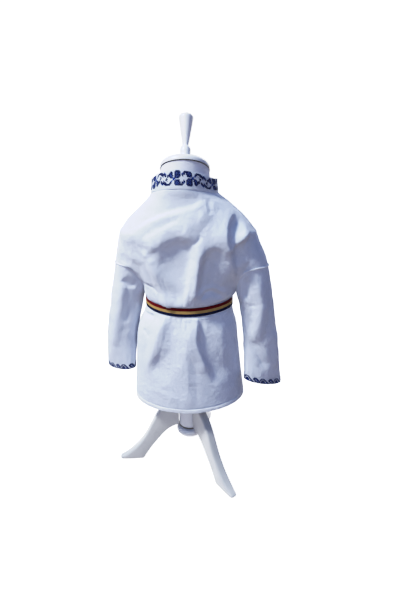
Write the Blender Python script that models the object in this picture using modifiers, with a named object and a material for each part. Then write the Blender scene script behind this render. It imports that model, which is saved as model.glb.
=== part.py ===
# A child's Romanian blouse (ie), belted, worn by a small limbless dress form on a three-legged stand.
# Metres, +Z up, +Y is the wearer's front and +X the wearer's right.
# Every piece is modelled about the axis of the stand's post and hangs from one empty on that axis.
# The empty is set so that the origin lies on the floor under the middle of the whole.

import bmesh
import bpy
from bisect import bisect_right
from collections import namedtuple
from math import cos, exp, pi, radians, sin, sqrt, tanh
from mathutils import Matrix, Vector

CLOTH = 0.0015             # thickness of the blouse's cotton
GAP = 0.0003               # between pieces that touch
SEAM_STRIP = 0.001         # narrow faces along a seam keep the cloth's edge square to it

# blouse
UNDERARM = 0.389           # height where the side seam meets the sleeve
ARMHOLE_TOP = 0.442        # height where the drop-shoulder seam crosses the top of the arm
ARMHOLE_RISE = 0.022       # how far the armhole seam bows up behind and before the arm
HEM_BACK = 0.1570          # heights of the hem
HEM_SIDE = 0.1640
HEM_FRONT = 0.1590
HEM_TILT = 0.055           # the hem climbs towards the wearer's right by this slope
SHOULDER_POINT = 0.502     # above this height the shoulder's own slope carries the cloth
NECK_HALF_WIDTH = 0.0600
NECK_BACK = 0.5810         # heights of the collar seam
NECK_SIDE = 0.5720
NECK_FRONT = 0.5600
SLIT_BOTTOM = 0.480        # the neck slit in the front
SLIT_HALF_WIDTH = 0.004
COLLAR_HEIGHT = 0.0315
COLLAR_LEAN_BACK = 0.0060  # how far the collar's top leans in towards the neck
COLLAR_LEAN_SIDE = 0.0045
CUFF_EDGE = {1: 0.2045, -1: 0.2125}     # height of each sleeve's lower edge, right and left
CUFF_HEIGHT = 0.0125
BELT_LOW = 0.3540
BELT_HIGH = 0.3710
BELT_THICKNESS = 0.0012

# dress form and stand
FORM_BOTTOM = 0.190
NECK_LEVEL = 0.590         # above this the neck's rings tilt towards its slanted top
NECK_TOP = 0.6105          # height of the slanted top on the axis
NECK_TILT = radians(24.0)
NECK_TURN = radians(6.0)   # the slanted top faces this far to the left of straight ahead
NECK_RADIUS = 0.0432
CAP_RADIUS = 0.0437
CAP_HEIGHT = 0.0170
FINIAL_LENGTH = 0.0845
FINIAL_FOOT = 0.0125
POST_RADIUS = 0.0235
POST_BOTTOM = 0.0840
BUN_BOTTOM = 0.0605
BUN_RADIUS = 0.0295
LEG_REACH = 0.1570
LEG_THICKNESS = 0.018
LEG_ROUNDING = 0.0025
LEG_AZIMUTHS = {"leg_right_back": -45.3, "leg_left_back": -165.3, "leg_front": 84.5}

# A leg's outline, from the post down to the heel and back up from the toe.
LegPoint = namedtuple("LegPoint", "radius height handle")
LEG_OUTLINE = [
    LegPoint(POST_RADIUS + 2 * GAP, 0.0850, "VECTOR"),
    LegPoint(0.0340, 0.0820, "AUTO"),
    LegPoint(0.0450, 0.0765, "AUTO"),
    LegPoint(0.0575, 0.0655, "AUTO"),
    LegPoint(0.0722, 0.0483, "AUTO"),
    LegPoint(0.0870, 0.0290, "AUTO"),
    LegPoint(0.1000, 0.0100, "AUTO"),
    LegPoint(0.1065, 0.0000, "VECTOR"),
    LegPoint(LEG_REACH - 0.0040, 0.0000, "VECTOR"),
    LegPoint(LEG_REACH, 0.0035, "AUTO"),
    LegPoint(0.1470, 0.0095, "AUTO"),
    LegPoint(0.1310, 0.0220, "AUTO"),
    LegPoint(0.1140, 0.0390, "AUTO"),
    LegPoint(0.0980, 0.0610, "AUTO"),
    LegPoint(0.0850, 0.0860, "AUTO"),
    LegPoint(0.0730, 0.1090, "AUTO"),
    LegPoint(0.0590, 0.1270, "AUTO"),
    LegPoint(0.0430, 0.1390, "AUTO"),
    LegPoint(POST_RADIUS + 2 * GAP, 0.1440, "VECTOR"),
]

# grids
HALF_COLUMNS = 14
ARMHOLE_STEPS = 9
SHOULDER_STEPS = 8
SLEEVE_ROWS = 12
SKIRT_SHARES = (0.0, 0.07, 0.26, 0.45, 0.64, 0.83, 1.0)
FORM_COLUMNS = 24

# The blouse's outer side on the body, level by level: half width, depth behind and before the
# side seams, and how far the level hangs to the wearer's right of the stand.
Body = namedtuple("Body", "height width back front sway")
BODY = [
    Body(0.1500, 0.1160, 0.0765, 0.0790, 0.0000),
    Body(0.1650, 0.1155, 0.0760, 0.0785, 0.0000),
    Body(0.2250, 0.1095, 0.0740, 0.0765, -0.0010),
    Body(0.2620, 0.1060, 0.0730, 0.0750, -0.0015),
    Body(0.2940, 0.1025, 0.0720, 0.0735, -0.0015),
    Body(0.3180, 0.0990, 0.0700, 0.0715, 0.0000),
    Body(0.3330, 0.0945, 0.0675, 0.0690, 0.0015),
    Body(0.3440, 0.0885, 0.0635, 0.0650, 0.0030),
    Body(0.3525, 0.0848, 0.0605, 0.0615, 0.0040),
    Body(0.3725, 0.0848, 0.0605, 0.0615, 0.0040),
    Body(0.3780, 0.0870, 0.0650, 0.0660, 0.0050),
    Body(0.3840, 0.0890, 0.0695, 0.0695, 0.0060),
    Body(0.3940, 0.0900, 0.0718, 0.0715, 0.0068),
    Body(0.4100, 0.0895, 0.0725, 0.0725, 0.0074),
    Body(0.4300, 0.0925, 0.0722, 0.0730, 0.0078),
    Body(0.4500, 0.0990, 0.0712, 0.0730, 0.0078),
    Body(0.4700, 0.1100, 0.0700, 0.0725, 0.0064),
    Body(0.4900, 0.1230, 0.0685, 0.0705, 0.0042),
    Body(0.5020, 0.1285, 0.0672, 0.0688, 0.0040),
    Body(0.5130, 0.1212, 0.0660, 0.0674, 0.0040),
    Body(0.5240, 0.1125, 0.0650, 0.0661, 0.0040),
    Body(0.5350, 0.1020, 0.0640, 0.0650, 0.0045),
    Body(0.5450, 0.0900, 0.0630, 0.0640, 0.0048),
    Body(0.5560, 0.0775, 0.0620, 0.0630, 0.0042),
    Body(0.5660, 0.0655, 0.0610, 0.0620, 0.0025),
    Body(0.5720, 0.0600, 0.0604, 0.0610, 0.0010),
    Body(0.5840, 0.0530, 0.0600, 0.0600, 0.0000),
]

# The sleeve, level by level: inner and outer reach, half thickness, how far its flat section is
# turned, and its sway. From the underarm up it sways with the body.
Arm = namedtuple("Arm", "height inner outer thickness turn sway")
ARM = [
    Arm(0.1980, 0.1150, 0.1855, 0.0180, 30.0, 0.0025),
    Arm(0.2080, 0.1150, 0.1845, 0.0180, 30.0, 0.0025),
    Arm(0.2400, 0.1140, 0.1825, 0.0215, 25.0, 0.0025),
    Arm(0.2800, 0.1105, 0.1780, 0.0250, 16.0, 0.0030),
    Arm(0.3200, 0.1055, 0.1715, 0.0285, 8.0, 0.0045),
    Arm(0.3600, 0.0980, 0.1635, 0.0310, 2.0, 0.0060),
    Arm(0.3890, 0.0900, 0.1585, 0.0330, 0.0, 0.0065),
    Arm(0.4100, 0.0860, 0.1540, 0.0340, 0.0, 0.0074),
    Arm(0.4350, 0.0810, 0.1490, 0.0352, 0.0, 0.0078),
    Arm(0.4600, 0.0730, 0.1430, 0.0370, 0.0, 0.0074),
    Arm(0.4800, 0.0650, 0.1360, 0.0390, 0.0, 0.0054),
    Arm(0.4910, 0.0600, 0.1325, 0.0390, 0.0, 0.0042),
    Arm(0.5020, 0.0550, 0.1285, 0.0360, 0.0, 0.0040),
    Arm(0.5130, 0.0500, 0.1210, 0.0280, 0.0, 0.0040),
    Arm(0.5240, 0.0450, 0.1120, 0.0160, 0.0, 0.0040),
    Arm(0.5350, 0.0400, 0.1010, 0.0000, 0.0, 0.0045),
]
BLEND = 3.0                # how tightly arm and body run into each other above the armpit
WEB = 0.015                # how far the body's cloth spreads onto the arm there

# The dress form, level by level.
FORM = [
    Body(0.1900, 0.0850, 0.0630, 0.0650, 0.0000),
    Body(0.2250, 0.0870, 0.0645, 0.0670, 0.0000),
    Body(0.2700, 0.0860, 0.0630, 0.0650, 0.0000),
    Body(0.3150, 0.0840, 0.0600, 0.0615, 0.0010),
    Body(0.3610, 0.0822, 0.0580, 0.0590, 0.0040),
    Body(0.4000, 0.0830, 0.0590, 0.0610, 0.0045),
    Body(0.4350, 0.0860, 0.0590, 0.0630, 0.0045),
    Body(0.4600, 0.0940, 0.0580, 0.0625, 0.0045),
    Body(0.4800, 0.1090, 0.0565, 0.0605, 0.0042),
    Body(0.4900, 0.1175, 0.0555, 0.0590, 0.0040),
    Body(0.4980, 0.1215, 0.0545, 0.0575, 0.0040),
    Body(0.5050, 0.1215, 0.0535, 0.0560, 0.0040),
    Body(0.5130, 0.1175, 0.0530, 0.0550, 0.0040),
    Body(0.5240, 0.1090, 0.0520, 0.0540, 0.0040),
    Body(0.5350, 0.0985, 0.0515, 0.0530, 0.0045),
    Body(0.5450, 0.0865, 0.0510, 0.0525, 0.0048),
    Body(0.5560, 0.0740, 0.0500, 0.0510, 0.0042),
    Body(0.5660, 0.0615, 0.0480, 0.0490, 0.0030),
    Body(0.5740, 0.0530, 0.0462, 0.0465, 0.0030),
    Body(0.5820, 0.0470, 0.0445, 0.0445, 0.0030),
    Body(0.5900, 0.0444, 0.0438, 0.0435, 0.0030),
]
NECK_SWAY = 0.0030

# Large folds: a soft ridge (rise over 0) or trough along a line across the panel, in width and height.
FOLD_LIMIT = 0.0065        # no fold, nor two that cross, stands further out or in than this
Fold = namedtuple("Fold", "x0 z0 x1 z1 width rise")
BACK_FOLDS = [
    Fold(0.052, 0.566, 0.018, 0.549, 0.0080, 0.0045),
    Fold(0.018, 0.549, -0.045, 0.530, 0.0090, 0.0050),
    Fold(-0.045, 0.530, -0.080, 0.510, 0.0100, 0.0030),
    Fold(0.030, 0.566, -0.028, 0.551, 0.0080, -0.0045),
    Fold(-0.028, 0.551, -0.062, 0.531, 0.0080, -0.0040),
    Fold(0.045, 0.545, 0.007, 0.517, 0.0110, 0.0040),
    Fold(0.007, 0.517, -0.045, 0.492, 0.0100, 0.0055),
    Fold(-0.045, 0.492, -0.082, 0.450, 0.0110, 0.0055),
    Fold(-0.020, 0.530, -0.070, 0.503, 0.0080, -0.0035),
    Fold(-0.008, 0.490, -0.028, 0.445, 0.0130, -0.0060),
    Fold(-0.028, 0.445, -0.016, 0.392, 0.0100, -0.0060),
    Fold(0.026, 0.490, 0.014, 0.450, 0.0090, 0.0055),
    Fold(0.014, 0.450, -0.004, 0.386, 0.0090, 0.0055),
    Fold(0.036, 0.462, 0.030, 0.402, 0.0080, -0.0065),
    Fold(0.060, 0.475, 0.066, 0.420, 0.0140, 0.0055),
    Fold(0.089, 0.520, 0.093, 0.450, 0.0080, -0.0055),
    Fold(-0.060, 0.455, -0.060, 0.395, 0.0110, 0.0045),
    Fold(-0.022, 0.338, -0.060, 0.250, 0.0110, -0.0060),
    Fold(-0.045, 0.340, -0.078, 0.262, 0.0120, 0.0045),
    Fold(-0.004, 0.335, -0.008, 0.160, 0.0150, 0.0040),
    Fold(0.036, 0.338, 0.036, 0.300, 0.0080, -0.0055),
    Fold(0.036, 0.300, 0.046, 0.225, 0.0110, -0.0045),
    Fold(0.066, 0.335, 0.075, 0.240, 0.0150, 0.0045),
]
FRONT_FOLDS = [
    Fold(-0.035, 0.548, -0.062, 0.500, 0.0100, 0.0045),
    Fold(0.035, 0.548, 0.066, 0.498, 0.0100, 0.0045),
    Fold(-0.050, 0.480, -0.078, 0.440, 0.0110, 0.0045),
    Fold(0.050, 0.484, 0.080, 0.445, 0.0100, 0.0050),
    Fold(-0.030, 0.500, -0.040, 0.430, 0.0110, -0.0050),
    Fold(0.022, 0.470, 0.030, 0.400, 0.0100, -0.0055),
    Fold(0.000, 0.455, 0.004, 0.392, 0.0110, 0.0055),
    Fold(-0.040, 0.440, -0.030, 0.392, 0.0090, 0.0045),
    Fold(0.056, 0.450, 0.052, 0.395, 0.0110, 0.0050),
    Fold(-0.088, 0.515, -0.092, 0.455, 0.0080, -0.0050),
    Fold(0.089, 0.520, 0.093, 0.450, 0.0080, -0.0050),
    Fold(-0.050, 0.336, -0.072, 0.190, 0.0130, 0.0050),
    Fold(-0.028, 0.336, -0.036, 0.220, 0.0110, -0.0055),
    Fold(0.000, 0.334, 0.002, 0.165, 0.0150, 0.0045),
    Fold(0.028, 0.338, 0.040, 0.240, 0.0110, -0.0055),
    Fold(0.058, 0.334, 0.076, 0.200, 0.0140, 0.0050),
]
# Folds of the right and the left sleeve: the same, but x is the angle round the sleeve in degrees,
# 90 at the back and 180 outside, and a degree counts as this much width.
DEGREE_WIDTH = 0.00055
SLEEVE_FOLDS = {
    1: [
        Fold(85.0, 0.352, 52.0, 0.285, 0.0080, 0.0035),
        Fold(115.0, 0.350, 85.0, 0.275, 0.0100, -0.0040),
        Fold(55.0, 0.400, 60.0, 0.360, 0.0090, -0.0030),
        Fold(140.0, 0.300, 110.0, 0.235, 0.0120, 0.0025),
        Fold(250.0, 0.390, 240.0, 0.300, 0.0120, 0.0030),
        Fold(290.0, 0.370, 275.0, 0.260, 0.0120, -0.0030),
    ],
    -1: [
        Fold(70.0, 0.390, 78.0, 0.250, 0.0090, -0.0040),
        Fold(108.0, 0.400, 115.0, 0.240, 0.0120, 0.0030),
        Fold(40.0, 0.360, 45.0, 0.280, 0.0090, 0.0025),
        Fold(245.0, 0.380, 235.0, 0.280, 0.0120, -0.0030),
        Fold(285.0, 0.390, 280.0, 0.300, 0.0120, 0.0030),
    ],
}


def between(rows, column, height):
    """One column of a table at any height: a cubic through its rows that never overshoots them."""
    heights = [row.height for row in rows]
    values = [getattr(row, column) for row in rows]
    if height <= heights[0]:
        return values[0]
    if height >= heights[-1]:
        return values[-1]

    def secant(i):
        return (values[i + 1] - values[i]) / (heights[i + 1] - heights[i])

    def slope(i):
        if i == 0:
            return secant(0)
        if i == len(rows) - 1:
            return secant(i - 1)
        before, after = secant(i - 1), secant(i)
        if before * after <= 0.0:
            return 0.0
        return 2.0 * before * after / (before + after)

    i = bisect_right(heights, height) - 1
    span = heights[i + 1] - heights[i]
    t = (height - heights[i]) / span
    return (
        (2 * t**3 - 3 * t**2 + 1) * values[i]
        + (t**3 - 2 * t**2 + t) * span * slope(i)
        + (3 * t**2 - 2 * t**3) * values[i + 1]
        + (t**3 - t**2) * span * slope(i + 1)
    )


def ramp(value, low, high):
    """0 at low, 1 at high, smooth between."""
    t = min(1.0, max(0.0, (value - low) / (high - low)))
    return t * t * (3.0 - 2.0 * t)


def fold_rise(folds, x, height, width_scale=1.0):
    """How far the folds stand out of the cloth at a place."""
    total = 0.0
    for fold in folds:
        run_x, run_z = (fold.x1 - fold.x0) * width_scale, fold.z1 - fold.z0
        off_x, off_z = (x - fold.x0) * width_scale, height - fold.z0
        along = (off_x * run_x + off_z * run_z) / (run_x**2 + run_z**2)
        along = min(1.0, max(0.0, along))
        distance = (off_x - along * run_x) ** 2 + (off_z - along * run_z) ** 2
        total += fold.rise * exp(-distance / fold.width**2)
    return FOLD_LIMIT * tanh(total / FOLD_LIMIT)


def sleeve_section(height):
    """Middle, half length, half thickness and turn of the sleeve's oval at a height."""
    inner = between(ARM, "inner", height)
    outer = between(ARM, "outer", height) if height < SHOULDER_POINT else between(BODY, "width", height)
    thickness = between(ARM, "thickness", height)
    turn = radians(between(ARM, "turn", height))
    reach = (outer - inner) / 2
    half_length = sqrt(reach**2 - (thickness * sin(turn)) ** 2) / cos(turn)
    return (inner + outer) / 2, half_length, thickness, turn


def cloth_depth(x, height, face):
    """From the plane of the side seams to the blouse's outer side, where body and arm run together."""
    web = WEB * ramp(height, UNDERARM, ARMHOLE_TOP) * (1.0 - ramp(height, ARMHOLE_TOP + 0.01, 0.485))
    width = between(BODY, "width", height) + web
    depth = between(BODY, face, height) * sqrt(max(0.0, 1.0 - (x / width) ** 2))
    if height <= UNDERARM:
        return depth
    middle, half_length, thickness, _ = sleeve_section(height)
    arm = thickness * sqrt(max(0.0, 1.0 - ((x - middle) / half_length) ** 2))
    return (depth**BLEND + arm**BLEND) ** (1.0 / BLEND)


def armhole_height(around):
    """Height of the armhole seam, 0 at the underarm to pi at the top of the arm."""
    climb = (ARMHOLE_TOP - UNDERARM) * (1.0 - cos(around)) / 2
    bow = ARMHOLE_RISE * abs(sin(around)) ** 1.5 * (1.0 + cos(around)) / 2
    return UNDERARM + climb + bow


def resample(line, steps, strip=0.0):
    """Evenly spaced points of a line, with one more a strip's width before its end if asked."""
    lengths = [0.0]
    for a, b in zip(line, line[1:]):
        lengths.append(lengths[-1] + (b - a).length)
    stations = [lengths[-1] * i / steps for i in range(steps + 1)]
    if strip:
        stations.insert(steps, lengths[-1] - strip)
    points = []
    for station in stations:
        i = min(len(line) - 2, max(0, bisect_right(lengths, station) - 1))
        t = (station - lengths[i]) / (lengths[i + 1] - lengths[i])
        points.append(line[i].lerp(line[i + 1], t))
    return points


def shoulder_line():
    """The shoulder ridge from the armhole's top to the collar, in equal steps."""
    fine = 200
    line = []
    for i in range(fine + 1):
        height = ARMHOLE_TOP + (NECK_SIDE - ARMHOLE_TOP) * i / fine
        middle, half_length, _, _ = sleeve_section(height)
        line.append(Vector((middle + half_length, 0.0, height)))
    return resample(line, SHOULDER_STEPS)


def panel_rows(face):
    """The rows of a panel from hem to neck: height on the centre line, and width and height of the end."""
    hem = HEM_BACK if face == "back" else HEM_FRONT
    neck = NECK_BACK if face == "back" else NECK_FRONT
    level = 0.335                                    # from here up to the underarm the rows are level
    skirt = [(hem + (level - hem) * share, HEM_SIDE + (level - HEM_SIDE) * share) for share in SKIRT_SHARES]
    waist = [0.3440, BELT_LOW - 0.0005, (BELT_LOW + BELT_HIGH) / 2, BELT_HIGH + 0.0005, 0.3770, 0.3830]
    rows = [(centre, between(BODY, "width", end), end) for centre, end in skirt + [(z, z) for z in waist]]
    armhole_centre = 0.455                           # centre line height opposite the top of the armhole
    for step in range(ARMHOLE_STEPS + 1):
        around = pi * step / ARMHOLE_STEPS
        end = armhole_height(around)
        middle, half_length, _, _ = sleeve_section(end)
        centre = UNDERARM + (armhole_centre - UNDERARM) * step / ARMHOLE_STEPS
        rows.append((centre, middle - half_length * cos(around), end))
    for step, point in enumerate(shoulder_line()):
        if step > 0:
            rows.append((armhole_centre + (neck - armhole_centre) * step / SHOULDER_STEPS, point.x, point.z))
    end = NECK_SIDE - 0.7 * SEAM_STRIP
    rows.insert(-1, (neck - SEAM_STRIP, between(BODY, "width", end), end))
    return rows


def slit_half_width(height):
    return SLIT_HALF_WIDTH * ramp(height, SLIT_BOTTOM, SLIT_BOTTOM + 0.04)


def panel_point(hand, width, height, face, share):
    """A point of the blouse's outer side; share runs from 0 on the centre line to 1 at the seam."""
    x = hand * width + between(BODY, "sway", height)
    neck = NECK_BACK if face == "back" else NECK_FRONT
    flat = ramp(abs(height - (BELT_LOW + BELT_HIGH) / 2), 0.0095, 0.020)           # under the belt
    flat *= ramp(neck - 0.009 * share - height, 0.002, 0.018)
    flat *= ramp(1.0 - share, 0.0, 0.15)
    depth = cloth_depth(width, height, face)
    depth += fold_rise(BACK_FOLDS if face == "back" else FRONT_FOLDS, x, height) * flat
    opening = exp(-(((height - UNDERARM) / 0.005) ** 2)) * ramp(share, 0.9, 1.0)   # the underarm's corner
    depth += GAP / 2 + CLOTH * opening
    return Vector((x, -depth if face == "back" else depth, height))


def panel_grid(face, hand):
    """One half of a panel; hand is 1 on the wearer's right and -1 on the left."""
    grid = []
    fine = 90
    for centre, width, end in panel_rows(face):
        lift = HEM_TILT * hand * width * (1.0 - ramp(end, HEM_SIDE, 0.31))
        if lift:
            width = between(BODY, "width", end + lift)
        start = slit_half_width(centre) if face == "front" else 0.0
        line = []
        for i in range(fine + 1):
            x = start + (width - start) * sin(pi / 2 * i / fine)
            share = x / width
            line.append(panel_point(hand, x, centre + (end - centre) * share**2 + lift * share, face, share))
        grid.append(resample(line, HALF_COLUMNS, SEAM_STRIP))
    return grid


def add_grid(bm, grid, flip, closed=False):
    rows = [[bm.verts.new(point) for point in row] for row in grid]
    for low, high in zip(rows, rows[1:]):
        count = len(low)
        for j in range(count if closed else count - 1):
            k = (j + 1) % count
            corners = [low[j], low[k], high[k], high[j]]
            bm.faces.new(corners[::-1] if flip else corners)
    return rows


def clear_scene():
    for thing in list(bpy.data.objects):
        bpy.data.objects.remove(thing, do_unlink=True)


def make_material(name, colour, roughness):
    material = bpy.data.materials.new(name)
    material.use_nodes = True
    shader = material.node_tree.nodes["Principled BSDF"]
    shader.inputs["Base Color"].default_value = (*colour, 1.0)
    shader.inputs["Roughness"].default_value = roughness
    return material


class Maker:
    """Keeps the collection, the stand's axis and the finishes that the pieces' own materials start from."""

    def __init__(self):
        self.collection = bpy.data.collections.new("romanian_blouse_on_form")
        bpy.context.scene.collection.children.link(self.collection)
        reach = []
        for azimuth in LEG_AZIMUTHS.values():
            angle = radians(azimuth)
            reach.append((LEG_REACH * sin(angle), LEG_THICKNESS / 2 * abs(cos(angle))))
        front = max(y + half for y, half in reach)
        back = min(y - half for y, half in reach)
        self.axis = bpy.data.objects.new("stand_axis", None)
        self.axis.location = (-between(ARM, "sway", CUFF_EDGE[1]), -(front + back) / 2, 0.0)
        self.collection.objects.link(self.axis)
        self.materials = {
            "cotton": make_material("cotton", (0.80, 0.84, 0.92), 0.85),
            "embroidered_band": make_material("embroidered_band", (0.16, 0.25, 0.62), 0.8),
            "ribbon": make_material("ribbon", (0.75, 0.45, 0.08), 0.6),
            "form_cover": make_material("form_cover", (0.72, 0.70, 0.72), 0.85),
            "painted_wood": make_material("painted_wood", (0.84, 0.85, 0.87), 0.35),
        }

    def place(self, name, data, material, location=(0.0, 0.0, 0.0), rotation=(0.0, 0.0, 0.0)):
        piece = bpy.data.objects.new(name, data)
        self.collection.objects.link(piece)
        piece.parent = self.axis
        piece.location = location
        piece.rotation_euler = rotation
        own = self.materials[material].copy()
        own.name = name
        data.materials.append(own)
        return piece

    def from_bmesh(self, name, bm, material, **where):
        mesh = bpy.data.meshes.new(name)
        bm.to_mesh(mesh)
        bm.free()
        mesh.shade_smooth()
        mesh.set_sharp_from_angle(angle=radians(40))
        return self.place(name, mesh, material, **where)


def thicken(piece, thickness, outward=False):
    wall = piece.modifiers.new("wall", "SOLIDIFY")
    wall.thickness = thickness
    wall.offset = 1.0 if outward else -1.0
    wall.use_quality_normals = True


def make_panel(maker, name, face):
    bm = bmesh.new()
    for hand in (1, -1):
        add_grid(bm, panel_grid(face, hand), flip=(face == "front") == (hand == 1))
    bmesh.ops.remove_doubles(bm, verts=bm.verts, dist=1e-6)
    bmesh.ops.triangulate(bm, faces=bm.faces, quad_method="SHORT_EDGE")
    thicken(maker.from_bmesh(name, bm, "cotton"), CLOTH)


def sleeve_point(height, around, hand):
    """A point of the sleeve; around runs from 0 inside over pi / 2 at the back to pi outside."""
    middle, half_length, thickness, turn = sleeve_section(height)
    seam = CUFF_EDGE[hand] + CUFF_HEIGHT
    flat = ramp(height, seam, seam + 0.02) * ramp(armhole_height(around) - height, 0.004, 0.03)
    swell = fold_rise(SLEEVE_FOLDS[hand], around * 180.0 / pi, height, DEGREE_WIDTH) * flat
    along = -(half_length + swell) * cos(around)
    across = -(thickness + swell) * sin(around)
    sway = between(BODY if height > UNDERARM else ARM, "sway", height)
    x = middle + along * cos(turn) - across * sin(turn)
    y = along * sin(turn) + across * cos(turn)
    return Vector((hand * x + sway, y, height))


def sleeve_ring(share, hand):
    """A ring of the sleeve: share 0 is the armhole seam and 1 the cuff seam."""
    ring = []
    cuff = CUFF_EDGE[hand] + CUFF_HEIGHT + GAP
    for step in range(2 * ARMHOLE_STEPS):
        around = pi * step / ARMHOLE_STEPS
        gap = GAP * (1.6 + 1.2 * cos(around / 2) ** 8)         # a little wider at the underarm
        top = armhole_height(around) - gap
        ring.append(sleeve_point(top + (cuff - top) * share, around, hand))
    return ring


def make_sleeve(maker, name, hand):
    strip = SEAM_STRIP / (UNDERARM - CUFF_EDGE[hand] - CUFF_HEIGHT)
    shares = [0.0, strip] + [i / SLEEVE_ROWS for i in range(1, SLEEVE_ROWS)] + [1.0 - strip, 1.0]
    bm = bmesh.new()
    add_grid(bm, [sleeve_ring(share, hand) for share in shares], flip=hand == 1, closed=True)
    thicken(maker.from_bmesh(name, bm, "cotton"), CLOTH)


def make_cuff(maker, name, hand):
    edge = CUFF_EDGE[hand]
    steps = 2 * ARMHOLE_STEPS
    rings = []
    for height in (edge + CUFF_HEIGHT, edge + CUFF_HEIGHT - SEAM_STRIP, edge + CUFF_HEIGHT / 2, edge):
        rings.append([sleeve_point(height, 2 * pi * i / steps, hand) for i in range(steps)])
    bm = bmesh.new()
    add_grid(bm, rings, flip=hand == 1, closed=True)
    thicken(maker.from_bmesh(name, bm, "embroidered_band"), CLOTH)


def neck_seam(angle, hand):
    """The collar seam, 0 at the centre back to pi at the centre front."""
    face = "back" if angle <= pi / 2 else "front"
    centre = NECK_BACK if face == "back" else NECK_FRONT
    height = centre + (NECK_SIDE - centre) * sin(angle) ** 2
    width = NECK_HALF_WIDTH * sin(angle)
    depth = cloth_depth(width, height, face)
    x = hand * width + between(BODY, "sway", height)
    return Vector((x, -depth if face == "back" else depth, height))


def make_collar(maker):
    half_steps = 20
    opening = SLIT_HALF_WIDTH / NECK_HALF_WIDTH
    rows = []
    for share in (0.0, 0.5, 1.0):
        row = []
        for i in range(-half_steps, half_steps + 1):
            angle = (pi - opening) * abs(i) / half_steps
            seam = neck_seam(angle, 1 if i >= 0 else -1)
            lean = COLLAR_LEAN_SIDE + (COLLAR_LEAN_BACK - COLLAR_LEAN_SIDE) * abs(cos(angle))
            inward = Vector((seam.x, seam.y, 0.0)).normalized() * -lean
            row.append(seam + inward * share + Vector((0.0, 0.0, GAP + COLLAR_HEIGHT * share)))
        rows.append(row)
    bm = bmesh.new()
    add_grid(bm, rows, flip=False)
    thicken(maker.from_bmesh("collar", bm, "embroidered_band"), CLOTH)


def make_belt(maker):
    steps = 64
    rings = []
    for height in (BELT_LOW, BELT_HIGH):
        ring = []
        for i in range(steps):
            angle = 2 * pi * i / steps
            width = between(BODY, "width", height) + GAP
            depth = between(BODY, "back" if cos(angle) > 0 else "front", height) + 1.5 * GAP
            x = width * sin(angle) + between(BODY, "sway", height)
            ring.append(Vector((x, -depth * cos(angle), height)))
        rings.append(ring)
    bm = bmesh.new()
    add_grid(bm, rings, flip=False, closed=True)
    thicken(maker.from_bmesh("belt", bm, "ribbon"), BELT_THICKNESS, outward=True)


def neck_slant():
    """Turns the level into the slanted top of the neck."""
    return Matrix.Rotation(NECK_TURN, 3, "Z") @ Matrix.Rotation(-NECK_TILT, 3, "X")


def make_form(maker):
    rings = []
    angles = [2 * pi * i / FORM_COLUMNS for i in range(FORM_COLUMNS)]
    for row in FORM:
        ring = []
        for angle in angles:
            depth = row.back if cos(angle) > 0 else row.front
            ring.append(Vector((row.width * sin(angle) + row.sway, -depth * cos(angle), row.height)))
        rings.append(ring)
    shoulder_ring = rings[-1]
    centre = Vector((NECK_SWAY, 0.0, NECK_TOP - GAP))
    slant = neck_slant() * NECK_RADIUS
    top = [slant @ Vector((sin(angle), -cos(angle), 0.0)) + centre for angle in angles]
    for share in (0.35, 0.7, 1.0):
        rings.append([low.lerp(high, share) for low, high in zip(shoulder_ring, top)])
    bm = bmesh.new()
    rows = add_grid(bm, rings, flip=False, closed=True)
    bm.faces.new(rows[0][::-1])
    bm.faces.new(rows[-1])
    maker.from_bmesh("form_body", bm, "form_cover")


def make_turned(maker, name, profile, steps, material, **where):
    """A turned piece: profile is a list of radius and height, top to bottom."""
    mesh = bpy.data.meshes.new(name)
    points = [(radius, 0.0, height) for radius, height in profile]
    mesh.from_pydata(points, [(i, i + 1) for i in range(len(points) - 1)], [])
    piece = maker.place(name, mesh, material, **where)
    turn = piece.modifiers.new("turn", "SCREW")
    turn.steps = steps
    turn.render_steps = steps
    turn.use_merge_vertices = True
    turn.merge_threshold = 0.00001
    turn.use_smooth_shade = True
    return piece


def arc(centre, radius, start, end, steps):
    """Points of an arc in the profile's plane; angles in degrees from +X."""
    points = []
    for i in range(steps + 1):
        angle = radians(start + (end - start) * i / steps)
        points.append((centre[0] + radius * cos(angle), centre[1] + radius * sin(angle)))
    return points


def make_cap_and_finial(maker):
    slant = (-NECK_TILT, 0.0, NECK_TURN)
    seat = Vector((NECK_SWAY, 0.0, NECK_TOP))
    land = FINIAL_FOOT + 0.001                       # the flat on the dome that the finial stands on
    rim = 0.004
    profile = [(0.0, CAP_HEIGHT), (land, CAP_HEIGHT)]
    steps = 5
    for i in range(1, steps + 1):
        angle = pi / 2 * i / steps
        profile.append((land + (CAP_RADIUS - land) * sin(angle), rim + (CAP_HEIGHT - rim) * cos(angle)))
    profile += [(CAP_RADIUS, 0.001), (CAP_RADIUS - 0.001, 0.0), (0.0, 0.0)]
    make_turned(maker, "neck_cap", profile, 28, "painted_wood", location=seat, rotation=slant)

    knob, corner, waist, waist_height = 0.0125, 0.0055, 0.0062, 0.0240
    shoulder = FINIAL_LENGTH - corner - 0.001
    profile = [(0.0, FINIAL_LENGTH), (knob - corner, FINIAL_LENGTH - 0.0005)]
    profile += arc((knob - corner, shoulder), corner, 65, 0, 3)
    stations = 4
    for i in range(1, stations + 1):
        share = i / stations
        profile.append((knob + (waist - knob) * share, shoulder + (waist_height - shoulder) * share))
    profile += [(0.0070, 0.0200), (0.0098, 0.0110), (0.0119, 0.0045), (FINIAL_FOOT, 0.0), (0.0, 0.0)]
    foot = seat + neck_slant() @ Vector((0.0, 0.0, CAP_HEIGHT + GAP))
    make_turned(maker, "finial", profile, 16, "painted_wood", location=foot, rotation=slant)


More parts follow.
